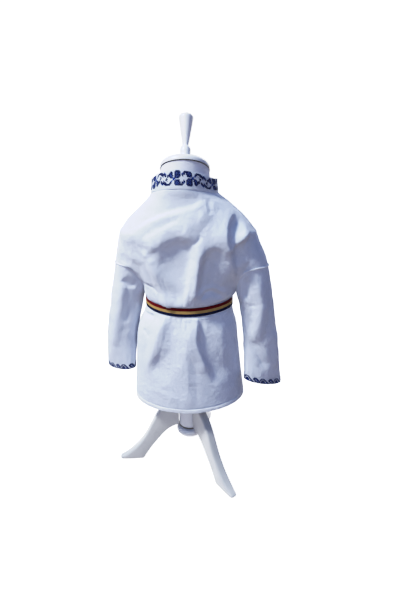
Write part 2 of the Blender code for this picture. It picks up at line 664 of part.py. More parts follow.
def make_post(maker):
    top = FORM_BOTTOM - GAP
    profile = [(0.0, top), (POST_RADIUS, top), (POST_RADIUS, POST_BOTTOM + 0.0015)]
    profile += [(POST_RADIUS - 0.0015, POST_BOTTOM), (0.0, POST_BOTTOM)]
    make_turned(maker, "post", profile, 24, "painted_wood")
    top = POST_BOTTOM - GAP
    neck, shoulder, curl = 0.0215, 0.0275, 0.0120    # the recess under the post, the rim and its rounding
    profile = [(0.0, top), (neck, top), (neck, top - 0.0022), (shoulder, top - 0.0040)]
    profile += arc((BUN_RADIUS - curl, BUN_BOTTOM + curl), curl, 30, -90, 5)
    profile += [(0.0, BUN_BOTTOM)]
    make_turned(maker, "post_end", profile, 24, "painted_wood")


def make_leg(maker, name, azimuth):
    """A cabriole leg sawn from board."""
    curve = bpy.data.curves.new(name, "CURVE")
    curve.dimensions = "2D"
    curve.fill_mode = "BOTH"
    curve.extrude = LEG_THICKNESS / 2
    curve.resolution_u = 2
    spline = curve.splines.new("BEZIER")
    spline.bezier_points.add(len(LEG_OUTLINE) - 1)
    for point, corner in zip(spline.bezier_points, LEG_OUTLINE):
        point.co = (corner.radius, corner.height, 0.0)
        point.handle_left_type = corner.handle
        point.handle_right_type = corner.handle
    spline.use_cyclic_u = True
    leg = maker.place(name, curve, "painted_wood", rotation=(pi / 2, 0.0, radians(azimuth)))
    weld = leg.modifiers.new("weld", "WELD")
    weld.merge_threshold = 0.00001
    bevel = leg.modifiers.new("edges", "BEVEL")
    bevel.width = LEG_ROUNDING
    bevel.segments = 1
    bevel.limit_method = "ANGLE"
    bevel.angle_limit = radians(60)
    return leg


def main():
    clear_scene()
    maker = Maker()
    make_panel(maker, "back_panel", "back")
    make_panel(maker, "front_panel", "front")
    for side, hand in (("right", 1), ("left", -1)):
        make_sleeve(maker, "sleeve_" + side, hand)
        make_cuff(maker, "cuff_" + side, hand)
    make_collar(maker)
    make_belt(maker)
    make_form(maker)
    make_cap_and_finial(maker)
    make_post(maker)
    for name, azimuth in LEG_AZIMUTHS.items():
        make_leg(maker, name, azimuth)


main()
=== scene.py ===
import random
from math import cos, pi, radians, sin, tau

import bmesh
import bpy
import numpy as np
from mathutils import Matrix, Vector


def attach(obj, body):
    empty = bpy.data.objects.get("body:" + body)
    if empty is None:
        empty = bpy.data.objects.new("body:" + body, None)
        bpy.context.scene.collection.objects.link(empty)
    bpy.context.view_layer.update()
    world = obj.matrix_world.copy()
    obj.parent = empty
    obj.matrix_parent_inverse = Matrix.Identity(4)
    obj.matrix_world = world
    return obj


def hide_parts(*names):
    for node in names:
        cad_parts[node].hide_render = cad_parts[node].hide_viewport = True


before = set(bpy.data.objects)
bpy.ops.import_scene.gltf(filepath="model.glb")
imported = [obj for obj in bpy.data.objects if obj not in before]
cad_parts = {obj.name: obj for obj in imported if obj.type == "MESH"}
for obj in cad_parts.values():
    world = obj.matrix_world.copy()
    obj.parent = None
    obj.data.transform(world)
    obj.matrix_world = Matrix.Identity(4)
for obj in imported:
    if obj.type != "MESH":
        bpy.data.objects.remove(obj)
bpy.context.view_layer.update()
print("frame loaded:", len(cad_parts), "nodes")

mm = 0.001
axisPlace = Vector((-0.0025, -0.0196, 0.0))     # the post's axis; every piece is modelled about it
collection = bpy.data.collections.new("blouseLooks")
bpy.context.scene.collection.children.link(collection)
axis = bpy.data.objects.new("blouseAxis", None)
axis.location = axisPlace
collection.objects.link(axis)


# ---- small tools for shapes

def ramp(value, low, high):
    t = np.clip((value - low) / (high - low), 0.0, 1.0)
    return t * t * (3.0 - 2.0 * t)


def levels(names, rows):
    return dict(zip(names.split(), np.array(rows, dtype=float).T))


def atLevel(table, name, height):
    # a column of the table at any height: a cubic through its rows that never overshoots
    h, v = table["height"], table[name]
    step = np.diff(h)
    secant = np.diff(v) / step
    before, after = secant[:-1], secant[1:]
    mean = 2.0 * before * after / np.where(before * after > 0.0, before + after, 1.0)
    slope = np.concatenate(([secant[0]], np.where(before * after > 0.0, mean, 0.0), [secant[-1]]))
    height = np.clip(height, h[0], h[-1])
    i = np.clip(np.searchsorted(h, height, side="right") - 1, 0, len(h) - 2)
    t = (height - h[i]) / step[i]
    low = (2 * t**3 - 3 * t**2 + 1) * v[i] + (t**3 - 2 * t**2 + t) * step[i] * slope[i]
    high = (3 * t**2 - 2 * t**3) * v[i + 1] + (t**3 - t**2) * step[i] * slope[i + 1]
    return low + high


def smoothLine(points, steps=6):
    # a rounded line through a few points
    points = np.array(points, dtype=float)
    padded = np.vstack((2 * points[0] - points[1], points, 2 * points[-1] - points[-2]))
    line = []
    for a, b, c, d in zip(padded, padded[1:], padded[2:], padded[3:]):
        for t in np.arange(steps) / steps:
            line.append(0.5 * (2 * b + (c - a) * t + (2 * a - 5 * b + 4 * c - d) * t**2
                               + (3 * b - a - 3 * c + d) * t**3))
    line.append(points[-1])
    return np.array(line)


def runLength(points):
    # how far along its line each point lies
    return np.concatenate(([0.0], np.cumsum(np.linalg.norm(np.diff(points, axis=0), axis=1))))


def softNoise(x, z, cell, seed):
    # smooth bumps between -1 and 1, about one cell wide
    values = np.random.default_rng(seed).uniform(-1.0, 1.0, (256, 256))
    u, v = x / cell + 128.0, z / cell + 128.0
    i, j = np.floor(u).astype(int), np.floor(v).astype(int)
    s, t = ramp(u - i, 0.0, 1.0), ramp(v - j, 0.0, 1.0)
    i, j = i % 255, j % 255
    low = values[i, j] * (1 - s) + values[i + 1, j] * s
    high = values[i, j + 1] * (1 - s) + values[i + 1, j + 1] * s
    return low * (1 - t) + high * t


def crumple(x, z, cell, seed):
    # crossing ridges of uneven height, as pressed and worn cloth has
    first, second = softNoise(x, z, cell, seed), softNoise(x + 0.37 * cell, z, cell, seed + 50)
    return (np.abs(second) - np.abs(first)) * (0.6 + 0.4 * softNoise(x, z, 3.0 * cell, seed + 90))


def uneven(spec, shape, x, z, seed):
    # the spec is the height of the bumps in millimetres and their size in metres
    height, cell = spec
    return height * mm * shape(x, z, cell, seed)


def foldShape(reach):
    # flat flanks that meet in a slightly rounded crest and run out softly at their feet
    crest = (np.sqrt(reach**2 + 0.012) - 0.1095) / 0.8965
    return ((1.0 - crest) + np.sqrt((1.0 - crest) ** 2 + 0.010)) / 2


def creaseRise(creases, x, z):
    # Creases are (rise, reach left of the line, reach right of it, points), all in millimetres.
    total = np.zeros_like(x)
    for rise, leftReach, rightReach, points in creases:
        line = smoothLine(np.array(points) * mm)
        start, run = line[:-1], np.diff(line, axis=0)
        length, before = np.hypot(run[:, 0], run[:, 1]), runLength(line)
        nearest = np.full(x.shape, np.inf)
        side, along = np.zeros_like(x), np.zeros_like(x)
        for (x0, z0), (dx, dz), size, done in zip(start, run, length, before):
            share = np.clip(((x - x0) * dx + (z - z0) * dz) / size**2, 0.0, 1.0)
            offX, offZ = x - x0 - share * dx, z - z0 - share * dz
            distance = offX**2 + offZ**2
            closer = distance < nearest
            nearest = np.where(closer, distance, nearest)
            side = np.where(closer, dx * offZ - dz * offX, side)
            along = np.where(closer, done + share * size, along)
        along /= before[-1]
        reach = np.where(side > 0.0, leftReach, rightReach) * mm
        fade = ramp(along, -0.02, 0.22) * ramp(1.0 - along, -0.02, 0.22)
        total += rise * mm * fade * foldShape(np.sqrt(nearest) / reach)
    return total


def unit(vectors):
    # the same directions, one metre long
    return vectors / np.maximum(np.linalg.norm(vectors, axis=-1, keepdims=True), 1e-12)


def gridNormals(points):
    return unit(np.cross(np.gradient(points, axis=1), np.gradient(points, axis=0)))


def circle(count):
    # points round the axis, one metre out, from the back towards the wearer's right
    angle = np.linspace(0.0, tau, count, endpoint=False)
    return np.stack((np.sin(angle), -np.cos(angle), 0.0 * angle), axis=-1)


def addPiece(name, mesh, materials, sharpAngle=None):
    piece = bpy.data.objects.new(name, mesh)
    collection.objects.link(piece)
    piece.parent = axis
    for material in materials:
        mesh.materials.append(material)
    mesh.shade_smooth()
    if sharpAngle:
        mesh.set_sharp_from_angle(angle=radians(sharpAngle))
    return piece


def bakeMesh(name, bm):
    mesh = bpy.data.meshes.new(name)
    bm.to_mesh(mesh)
    bm.free()
    return mesh


def gridMesh(name, points, closed=False, flip=False, skip=None, weld=0.0):
    # A sheet from rows of points, with its own size in metres as texture coordinates.
    # The column of faces numbered skip is left out.
    rows, count = points.shape[:2]
    bm = bmesh.new()
    verts = [[bm.verts.new(point) for point in row] for row in points]
    uvLayer = bm.loops.layers.uv.new("cloth")
    ring = np.concatenate((points, points[:, :1]), axis=1) if closed else points
    width = np.cumsum(np.linalg.norm(np.diff(ring, axis=1), axis=2), axis=1)
    width = np.concatenate((np.zeros((rows, 1)), width), axis=1)
    if not closed:
        width -= width[:, count // 2: count // 2 + 1]
    tall = np.cumsum(np.linalg.norm(np.diff(ring, axis=0), axis=2), axis=0)
    tall = np.concatenate((np.zeros((1, ring.shape[1])), tall), axis=0)
    for i in range(rows - 1):
        for j in range(count if closed else count - 1):
            if j == skip:
                continue
            k = (j + 1) % count
            corners = [(i, j, j), (i, k, j + 1), (i + 1, k, j + 1), (i + 1, j, j)]
            if flip:
                corners.reverse()
            face = bm.faces.new([verts[a][b] for a, b, _ in corners])
            for loop, (a, _, c) in zip(face.loops, corners):
                loop[uvLayer].uv = (width[a, c], tall[a, c])
    if weld:
        bmesh.ops.remove_doubles(bm, verts=bm.verts, dist=weld)
    return bakeMesh(name, bm)


def closeEnds(mesh):
    # fills the open rims and turns all the faces outward
    bm = bmesh.new()
    bm.from_mesh(mesh)
    bmesh.ops.holes_fill(bm, edges=[edge for edge in bm.edges if edge.is_boundary], sides=0)
    bmesh.ops.recalc_face_normals(bm, faces=bm.faces)
    bm.to_mesh(mesh)
    bm.free()


def thicken(piece, thickness):
    wall = piece.modifiers.new("wall", "SOLIDIFY")
    wall.thickness = thickness
    wall.offset = -1.0
    wall.use_quality_normals = True


# ---- shader groups

def newGroup(name, inputs, outputs):
    group = bpy.data.node_groups.new(name, "ShaderNodeTree")
    for label, kind, value in inputs:
        socket = group.interface.new_socket(label, in_out="INPUT", socket_type="NodeSocket" + kind)
        if value is not None:
            socket.default_value = value
    for label, kind in outputs:
        group.interface.new_socket(label, in_out="OUTPUT", socket_type="NodeSocket" + kind)
    start = group.nodes.new("NodeGroupInput")
    end = group.nodes.new("NodeGroupOutput")
    return group, start, end


def addNode(tree, kind, *inputs, **values):
    # another node's output is linked; anything else is set, as a property or on its socket
    node = tree.nodes.new("ShaderNode" + kind)
    for key, value in [*values.items(), *enumerate(inputs)]:
        if isinstance(key, str) and hasattr(node, key):
            setattr(node, key, value)
        elif isinstance(value, bpy.types.NodeSocket):
            tree.links.new(value, node.inputs[key])
        else:
            node.inputs[key].default_value = value
    return node


def math(tree, operation, *inputs):
    return addNode(tree, "Math", *inputs, operation=operation).outputs[0]


def weightedSum(tree, *parts):
    # values added up, each times its own weight
    total = None
    for value, weight in parts:
        scaled = math(tree, "MULTIPLY", value, weight)
        total = scaled if total is None else math(tree, "ADD", total, scaled)
    return total


def makeWeaveGroup():
    # plain weave: crossing threads, each over and under, with uneven thickness; Gap, between the threads, is
    # used as painted shade there
    group, start, end = newGroup(
        "plainWeave",
        [("Vector", "Vector", None), ("Threads", "Float", 2400.0), ("Slub", "Float", 0.5)],
        [("Height", "Float"), ("Gap", "Float")])
    place = start.outputs["Vector"]
    slub = addNode(group, "TexNoise", Vector=place, Scale=420.0, Detail=2.0)
    waver = math(group, "MULTIPLY", slub.outputs["Fac"], start.outputs["Slub"])
    waves = []
    for distance in addNode(group, "SeparateXYZ", place).outputs[:2]:
        thread = math(group, "ADD", math(group, "MULTIPLY", distance, start.outputs["Threads"]), waver)
        waves.append(math(group, "SINE", math(group, "MULTIPLY", thread, pi)))
    highest = math(group, "MAXIMUM", *(math(group, "ABSOLUTE", wave) for wave in waves))
    crossing = math(group, "MULTIPLY", math(group, "MULTIPLY", *waves), 0.3)
    group.links.new(math(group, "ADD", highest, crossing), end.inputs["Height"])
    group.links.new(math(group, "SUBTRACT", 1.0, highest), end.inputs["Gap"])
    return group


def makeMottleGroup():
    # cloudy unevenness from two sizes of noise, between 0 and 1
    group, start, end = newGroup(
        "mottle",
        [("Vector", "Vector", None), ("Size", "Float", 0.03), ("Detail", "Float", 4.0)],
        [("Value", "Float"), ("Fine", "Float")])
    scale = math(group, "DIVIDE", 1.0, start.outputs["Size"])
    for label, size, rough in (("Value", scale, 0.55), ("Fine", math(group, "MULTIPLY", scale, 6.0), 0.6)):
        noise = addNode(group, "TexNoise", Vector=start.outputs["Vector"], Scale=size,
                        Detail=start.outputs["Detail"], Roughness=rough)
        group.links.new(noise.outputs["Fac"], end.inputs[label])
    return group


def makeWearGroup():
    # where paint is rubbed on raised edges, broken up by noise
    group, start, end = newGroup(
        "edgeWear",
        [("Vector", "Vector", None), ("Amount", "Float", 0.5)],
        [("Mask", "Float")])
    shape = addNode(group, "NewGeometry")
    noise = addNode(group, "TexNoise", Vector=start.outputs["Vector"], Scale=220.0, Detail=5.0)
    edge = math(group, "SUBTRACT", shape.outputs["Pointiness"], 0.515)      # 0.5 is flat
    edge = math(group, "MAXIMUM", math(group, "MULTIPLY", edge, 14.0), 0.0)
    rubbed = math(group, "MULTIPLY", edge, noise.outputs["Fac"])
    mask = addNode(group, "Clamp", math(group, "MULTIPLY", rubbed, start.outputs["Amount"]))
    group.links.new(mask.outputs[0], end.inputs["Mask"])
    return group


plainWeave = makeWeaveGroup()
mottle = makeMottleGroup()
edgeWear = makeWearGroup()


def addCloud(tree, place, size):
    return addNode(tree, "Group", node_tree=mottle, Vector=place, Size=size)


def blendColour(tree, factor, low, high):
    mix = addNode(tree, "Mix", data_type="RGBA", Factor=factor, A=(*low, 1.0), B=(*high, 1.0))
    return mix.outputs["Result"]


def mapRange(tree, value, low, high, toLow, toHigh):
    return addNode(tree, "MapRange", value, low, high, toLow, toHigh).outputs["Result"]


def newMaterial(name):
    material = bpy.data.materials.new(name)
    material.use_nodes = True
    tree = material.node_tree
    return material, tree, tree.nodes["Principled BSDF"]


def objectPlace(tree):
    return addNode(tree, "TexCoord").outputs["Object"]


def clothPlace(tree):
    return addNode(tree, "UVMap", uv_map="cloth").outputs[0]


def finishSurface(tree, shader, colour, cloud, rough, relief, bump, constants):
    # colour, roughness that wanders between two values, relief, and what is the same all over
    tree.links.new(colour, shader.inputs["Base Color"])
    tree.links.new(mapRange(tree, cloud.outputs["Fine"], 0.3, 0.7, *rough), shader.inputs["Roughness"])
    height = addNode(tree, "Bump", Distance=bump, Height=relief)
    tree.links.new(height.outputs["Normal"], shader.inputs["Normal"])
    for label, value in constants.items():
        shader.inputs[label].default_value = value


def clothMaterial(name, **changes):
    look = {**clothLook, **changes}
    material, tree, shader = newMaterial(name)
    place = objectPlace(tree)
    weave = addNode(tree, "Group", node_tree=plainWeave, Vector=clothPlace(tree),
                    Threads=look["threads"], Slub=look["slub"])
    cloud, fleck = addCloud(tree, place, look["cloud"]), addCloud(tree, place, look["fleck"])
    # the colour darkens at random with the cloud and flecks, and between the threads as painted shade
    factor = weightedSum(tree, (cloud.outputs["Value"], 0.45), (weave.outputs["Gap"], 0.3),
                         (fleck.outputs["Value"], 0.35))
    relief = weightedSum(tree, (weave.outputs["Height"], look["relief"]),
                         (cloud.outputs["Fine"], look["crumple"]), (fleck.outputs["Value"], look["pucker"]))
    colour = blendColour(tree, factor, look["colour"], look["shade"])
    finishSurface(tree, shader, colour, cloud, look["rough"], relief, look["bump"], {
        "Sheen Weight": look["sheen"], "Sheen Roughness": 0.5, "Specular IOR Level": look["gloss"]})
    return material


clothLook = {
    "colour": (0.82, 0.85, 0.93), "shade": (0.66, 0.71, 0.83), "rough": (0.82, 0.94),
    "threads": 2300.0, "slub": 0.8, "cloud": 0.05, "fleck": 0.006,
    "relief": 0.35, "crumple": 1.5, "pucker": 2.2, "bump": 0.0006, "sheen": 0.1, "gloss": 0.2,
}
cotton = clothMaterial("cotton")
bandCloth = clothMaterial("bandCloth", threads=1500.0, relief=0.7, crumple=0.6, pucker=0.4)
coverCloth = clothMaterial("coverCloth", colour=(0.93, 0.92, 0.97), shade=(0.74, 0.73, 0.80),
                           threads=1200.0, crumple=0.4, pucker=0.3)
seamCloth = clothMaterial("seamCloth", colour=(0.90, 0.92, 0.97), shade=(0.82, 0.84, 0.90))


def threadMaterial(name, colour, shade):
    # stranded cotton with a fine twist
    material, tree, shader = newMaterial(name)
    place = objectPlace(tree)
    cloud = addCloud(tree, place, threadLook["cloud"])
    twist = addNode(tree, "TexWave", Vector=place, Scale=threadLook["twists"], Distortion=threadLook["waver"])
    finishSurface(tree, shader, blendColour(tree, cloud.outputs["Value"], colour, shade), cloud,
                  threadLook["rough"], twist.outputs["Fac"], threadLook["bump"],
                  {"Specular IOR Level": threadLook["gloss"]})
    return material


threadLook = {
    "cloud": 0.004, "twists": 900.0, "waver": 1.5, "rough": (0.5, 0.75), "bump": 0.00008, "gloss": 0.10,
}
navyThread = threadMaterial("navyThread", (0.006, 0.013, 0.078), (0.003, 0.007, 0.042))
blueThread = threadMaterial("blueThread", (0.030, 0.068, 0.28), (0.020, 0.050, 0.22))
whiteThread = threadMaterial("whiteThread", (0.78, 0.82, 0.90), (0.68, 0.73, 0.84))


def ribbonMaterial(name, colour, shade):
    # woven ribbon with ribs across its length; painted shade darkens the hollows between the ribs
    material, tree, shader = newMaterial(name)
    along = addNode(tree, "SeparateXYZ", clothPlace(tree)).outputs[0]
    rib = math(tree, "ABSOLUTE", math(tree, "SINE", math(tree, "MULTIPLY", along, pi / ribbonLook["rib"])))
    cloud = addCloud(tree, objectPlace(tree), ribbonLook["cloud"])
    # darker at random with the cloud, and between the ribs as painted shade
    factor = weightedSum(tree, (cloud.outputs["Value"], 0.6), (math(tree, "SUBTRACT", 1.0, rib), 0.5))
    finishSurface(tree, shader, blendColour(tree, factor, colour, shade), cloud, ribbonLook["rough"],
                  rib, ribbonLook["bump"], {"Specular IOR Level": ribbonLook["gloss"]})
    return material


ribbonLook = {"rib": 0.0009, "cloud": 0.008, "rough": (0.45, 0.65), "bump": 0.00018, "gloss": 0.02}


def paintMaterial(name, **changes):
    # brushed paint on turned or sawn wood
    look = {**paintLook, **changes}
    material, tree, shader = newMaterial(name)
    place = objectPlace(tree)
    cloud = addCloud(tree, place, look["cloud"])
    wear = addNode(tree, "Group", node_tree=edgeWear, Vector=place, Amount=look["wear"])
    stretch = addNode(tree, "Mapping", Vector=place, Scale=look["brush"])
    brush = addNode(tree, "TexNoise", Vector=stretch.outputs[0], Scale=1.0, Detail=3.0)
    sound = blendColour(tree, cloud.outputs["Value"], look["colour"], look["shade"])
    paint = addNode(tree, "Mix", data_type="RGBA", Factor=wear.outputs["Mask"], A=sound,
                    B=(*look["bare"], 1.0))
    finishSurface(tree, shader, paint.outputs["Result"], cloud, look["rough"], brush.outputs["Fac"],
                  look["bump"], {"Coat Weight": 0.15, "Coat Roughness": 0.3})
    return material


paintLook = {
    "colour": (0.80, 0.80, 0.82), "shade": (0.70, 0.70, 0.73), "bare": (0.48, 0.43, 0.38),
    "cloud": 0.02, "wear": 0.3, "rough": (0.35, 0.52), "brush": (260.0, 260.0, 30.0), "bump": 0.00015,
}
whitePaint = paintMaterial("whitePaint")
legPaint = paintMaterial("legPaint", wear=0.4, colour=(0.57, 0.555, 0.535), shade=(0.48, 0.47, 0.455))
# near-black paint for the rings under the cap and above the bun: painted shade where those gaps fall dark
gapShadePaint = paintMaterial("gapShadePaint", wear=0.0, rough=(0.63, 0.80), colour=(0.045, 0.032, 0.028),
                        shade=(0.020, 0.014, 0.012))
print("materials made")


# ---- the blouse's shape on the body and the arms

# half width, depth behind and before the side seams, and how far the level hangs to the right
body = levels("height width back front sway", [
    (0.1500, 0.1160, 0.0765, 0.0790, 0.0000),
    (0.1650, 0.1155, 0.0760, 0.0785, 0.0000),
    (0.2250, 0.1095, 0.0740, 0.0765, -0.0010),
    (0.2620, 0.1060, 0.0730, 0.0750, -0.0015),
    (0.2940, 0.1025, 0.0720, 0.0735, -0.0015),
    (0.3180, 0.0990, 0.0700, 0.0715, 0.0000),
    (0.3330, 0.0945, 0.0675, 0.0690, 0.0015),
    (0.3440, 0.0885, 0.0642, 0.0657, 0.0030),
    (0.3500, 0.0858, 0.0622, 0.0636, 0.0038),
    (0.3530, 0.0848, 0.0605, 0.0615, 0.0040),
    (0.3720, 0.0848, 0.0605, 0.0615, 0.0040),
    (0.3735, 0.0856, 0.0640, 0.0655, 0.0042),
    (0.3760, 0.0866, 0.0656, 0.0682, 0.0047),
    (0.3840, 0.0888, 0.0673, 0.0702, 0.0060),
    (0.3940, 0.0900, 0.0680, 0.0715, 0.0068),
    (0.4100, 0.0895, 0.0686, 0.0725, 0.0074),
    (0.4300, 0.0925, 0.0694, 0.0730, 0.0078),
    (0.4500, 0.0990, 0.0703, 0.0730, 0.0078),
    (0.4700, 0.1100, 0.0710, 0.0725, 0.0064),
    (0.4900, 0.1230, 0.0714, 0.0705, 0.0042),
    (0.5020, 0.1285, 0.0703, 0.0688, 0.0040),
    (0.5130, 0.1212, 0.0687, 0.0674, 0.0040),
    (0.5240, 0.1125, 0.0670, 0.0661, 0.0040),
    (0.5350, 0.1020, 0.0653, 0.0650, 0.0045),
    (0.5450, 0.0900, 0.0630, 0.0640, 0.0048),
    (0.5560, 0.0775, 0.0620, 0.0630, 0.0042),
    (0.5660, 0.0655, 0.0610, 0.0620, 0.0025),
    (0.5720, 0.0600, 0.0604, 0.0610, 0.0010),
    (0.5840, 0.0530, 0.0600, 0.0600, 0.0000),
])
# inner and outer reach, half thickness, turn in degrees, and sway
arm = levels("height inner outer thickness turn sway", [
    (0.1980, 0.1142, 0.1877, 0.0180, 30.0, 0.0025),
    (0.2080, 0.1142, 0.1866, 0.0180, 30.0, 0.0025),
    (0.2400, 0.1131, 0.1834, 0.0215, 25.0, 0.0025),
    (0.2800, 0.1097, 0.1782, 0.0250, 16.0, 0.0030),
    (0.3200, 0.1048, 0.1715, 0.0285, 8.0, 0.0045),
    (0.3600, 0.0975, 0.1635, 0.0310, 2.0, 0.0060),
    (0.3890, 0.0900, 0.1585, 0.0330, 0.0, 0.0065),
    (0.4100, 0.0860, 0.1540, 0.0340, 0.0, 0.0074),
    (0.4350, 0.0810, 0.1490, 0.0352, 0.0, 0.0078),
    (0.4600, 0.0730, 0.1430, 0.0370, 0.0, 0.0074),
    (0.4800, 0.0650, 0.1360, 0.0390, 0.0, 0.0054),
    (0.4910, 0.0600, 0.1325, 0.0390, 0.0, 0.0042),
    (0.5020, 0.0550, 0.1285, 0.0360, 0.0, 0.0040),
    (0.5130, 0.0500, 0.1210, 0.0280, 0.0, 0.0040),
    (0.5240, 0.0450, 0.1120, 0.0160, 0.0, 0.0040),
    (0.5350, 0.0400, 0.1010, 0.0000, 0.0, 0.0045),
])
cut = {
    "cloth": 0.0006,
    "underarm": 0.389, "armholeTop": 0.442, "armholeRise": 0.0233, "armholeCentre": 0.455,
    "shoulderPoint": 0.502, "web": 0.015, "blend": 3.0,
    "hem": {"back": 0.1570, "front": 0.1590}, "hemSide": 0.1640, "hemTilt": 0.055,
    "hemCurve": 0.007, "hemHalfWidth": 0.115, "hemFold": 0.0078, "hemStitch": 0.0085,
    "neck": {"back": 0.5810, "front": 0.5600}, "neckSide": 0.5720, "neckHalfWidth": 0.0600,
    "slitBottom": 0.480, "slitRun": 0.040, "slitHalfWidth": 0.004,
    "beltLow": 0.3540, "beltHigh": 0.3710, "beltSag": 0.0085, "skirtTop": 0.335,
}
beltMiddle = (cut["beltLow"] + cut["beltHigh"]) / 2


def ovalPlace(table, angle, height, out=0.0):
    # round the table's ovals, from the back towards the wearer's right
    depth = np.where(np.cos(angle) > 0, atLevel(table, "back", height), atLevel(table, "front", height))
    x = (atLevel(table, "width", height) + out) * np.sin(angle) + atLevel(table, "sway", height)
    return x, -(depth + out) * np.cos(angle)


def sleeveSection(height):
    # middle, half length, half thickness and turn of the sleeve's oval
    inner = atLevel(arm, "inner", height)
    onShoulder = height >= cut["shoulderPoint"]
    outer = np.where(onShoulder, atLevel(body, "width", height), atLevel(arm, "outer", height))
    thickness = atLevel(arm, "thickness", height)
    turn = np.radians(atLevel(arm, "turn", height))
    halfLength = np.sqrt(((outer - inner) / 2) ** 2 - (thickness * np.sin(turn)) ** 2) / np.cos(turn)
    return (inner + outer) / 2, halfLength, thickness, turn


def clothDepth(x, height, face):
    # from the plane of the side seams to the cloth, where body and arm run together
    web = ramp(height, cut["underarm"], cut["armholeTop"])
    web = cut["web"] * (web * (1.0 - ramp(height, cut["armholeTop"] + 0.01, 0.485)))
    width = atLevel(body, "width", height) + web
    depth = atLevel(body, face, height) * np.sqrt(np.maximum(0.0, 1.0 - (x / width) ** 2))
    middle, halfLength, thickness, _ = sleeveSection(height)
    sleeve = thickness * np.sqrt(np.maximum(0.0, 1.0 - ((x - middle) / halfLength) ** 2))
    joined = (depth ** cut["blend"] + sleeve ** cut["blend"]) ** (1.0 / cut["blend"])
    return np.where(height <= cut["underarm"], depth, joined)


def sideLift(share, height):
    # the belt and the cloth in it sit higher at the sides than at the middle
    return cut["beltSag"] * share**2 * (1.0 - ramp(np.abs(height - beltMiddle), 0.010, 0.0262))


def armholeHeight(around):
    climb = (cut["armholeTop"] - cut["underarm"]) * (1.0 - np.cos(around)) / 2
    bow = cut["armholeRise"] * np.abs(np.sin(around)) ** 1.5 * (1.0 + np.cos(around) / 2)
    return cut["underarm"] + climb + bow


def hemHeight(face, x, share):
    return cut["hem"][face] + cut["hemCurve"] * share**2 + cut["hemTilt"] * x


def panelRows(face):
    # rows from hem to neck: height on the centre line, and width and height at the seam
    hem, neck, level = cut["hem"][face], cut["neck"][face], cut["skirtTop"]
    share = np.concatenate((np.linspace(0.0, 0.075, 14)[:-1], np.linspace(0.075, 1.0, 70)))
    skirt = cut["hemSide"] + (level - cut["hemSide"]) * share
    waist = np.linspace(level, cut["underarm"], 47)[1:-1]
    around = np.linspace(0.0, pi, 36)
    seam = armholeHeight(around)
    middle, halfLength, _, _ = sleeveSection(seam)
    fine = np.linspace(cut["armholeTop"], cut["neckSide"], 400)
    ridge = np.column_stack((np.add(*sleeveSection(fine)[:2]), fine))
    run = runLength(ridge)
    shoulder = np.linspace(0.0, run[-1], 64)[1:]
    centre = np.concatenate((
        hem + (level - hem) * share, waist,
        cut["underarm"] + (cut["armholeCentre"] - cut["underarm"]) * around / pi,
        cut["armholeCentre"] + (neck - cut["armholeCentre"]) * shoulder / run[-1]))
    width = np.concatenate((
        atLevel(body, "width", skirt), atLevel(body, "width", waist), middle - halfLength * np.cos(around),
        np.interp(shoulder, run, ridge[:, 0])))
    end = np.concatenate((skirt, waist, seam, np.interp(shoulder, run, ridge[:, 1])))
    return centre, width, end


def slitHalfWidth(height):
    return cut["slitHalfWidth"] * ramp(height, cut["slitBottom"], cut["slitBottom"] + cut["slitRun"])


# ---- back and front

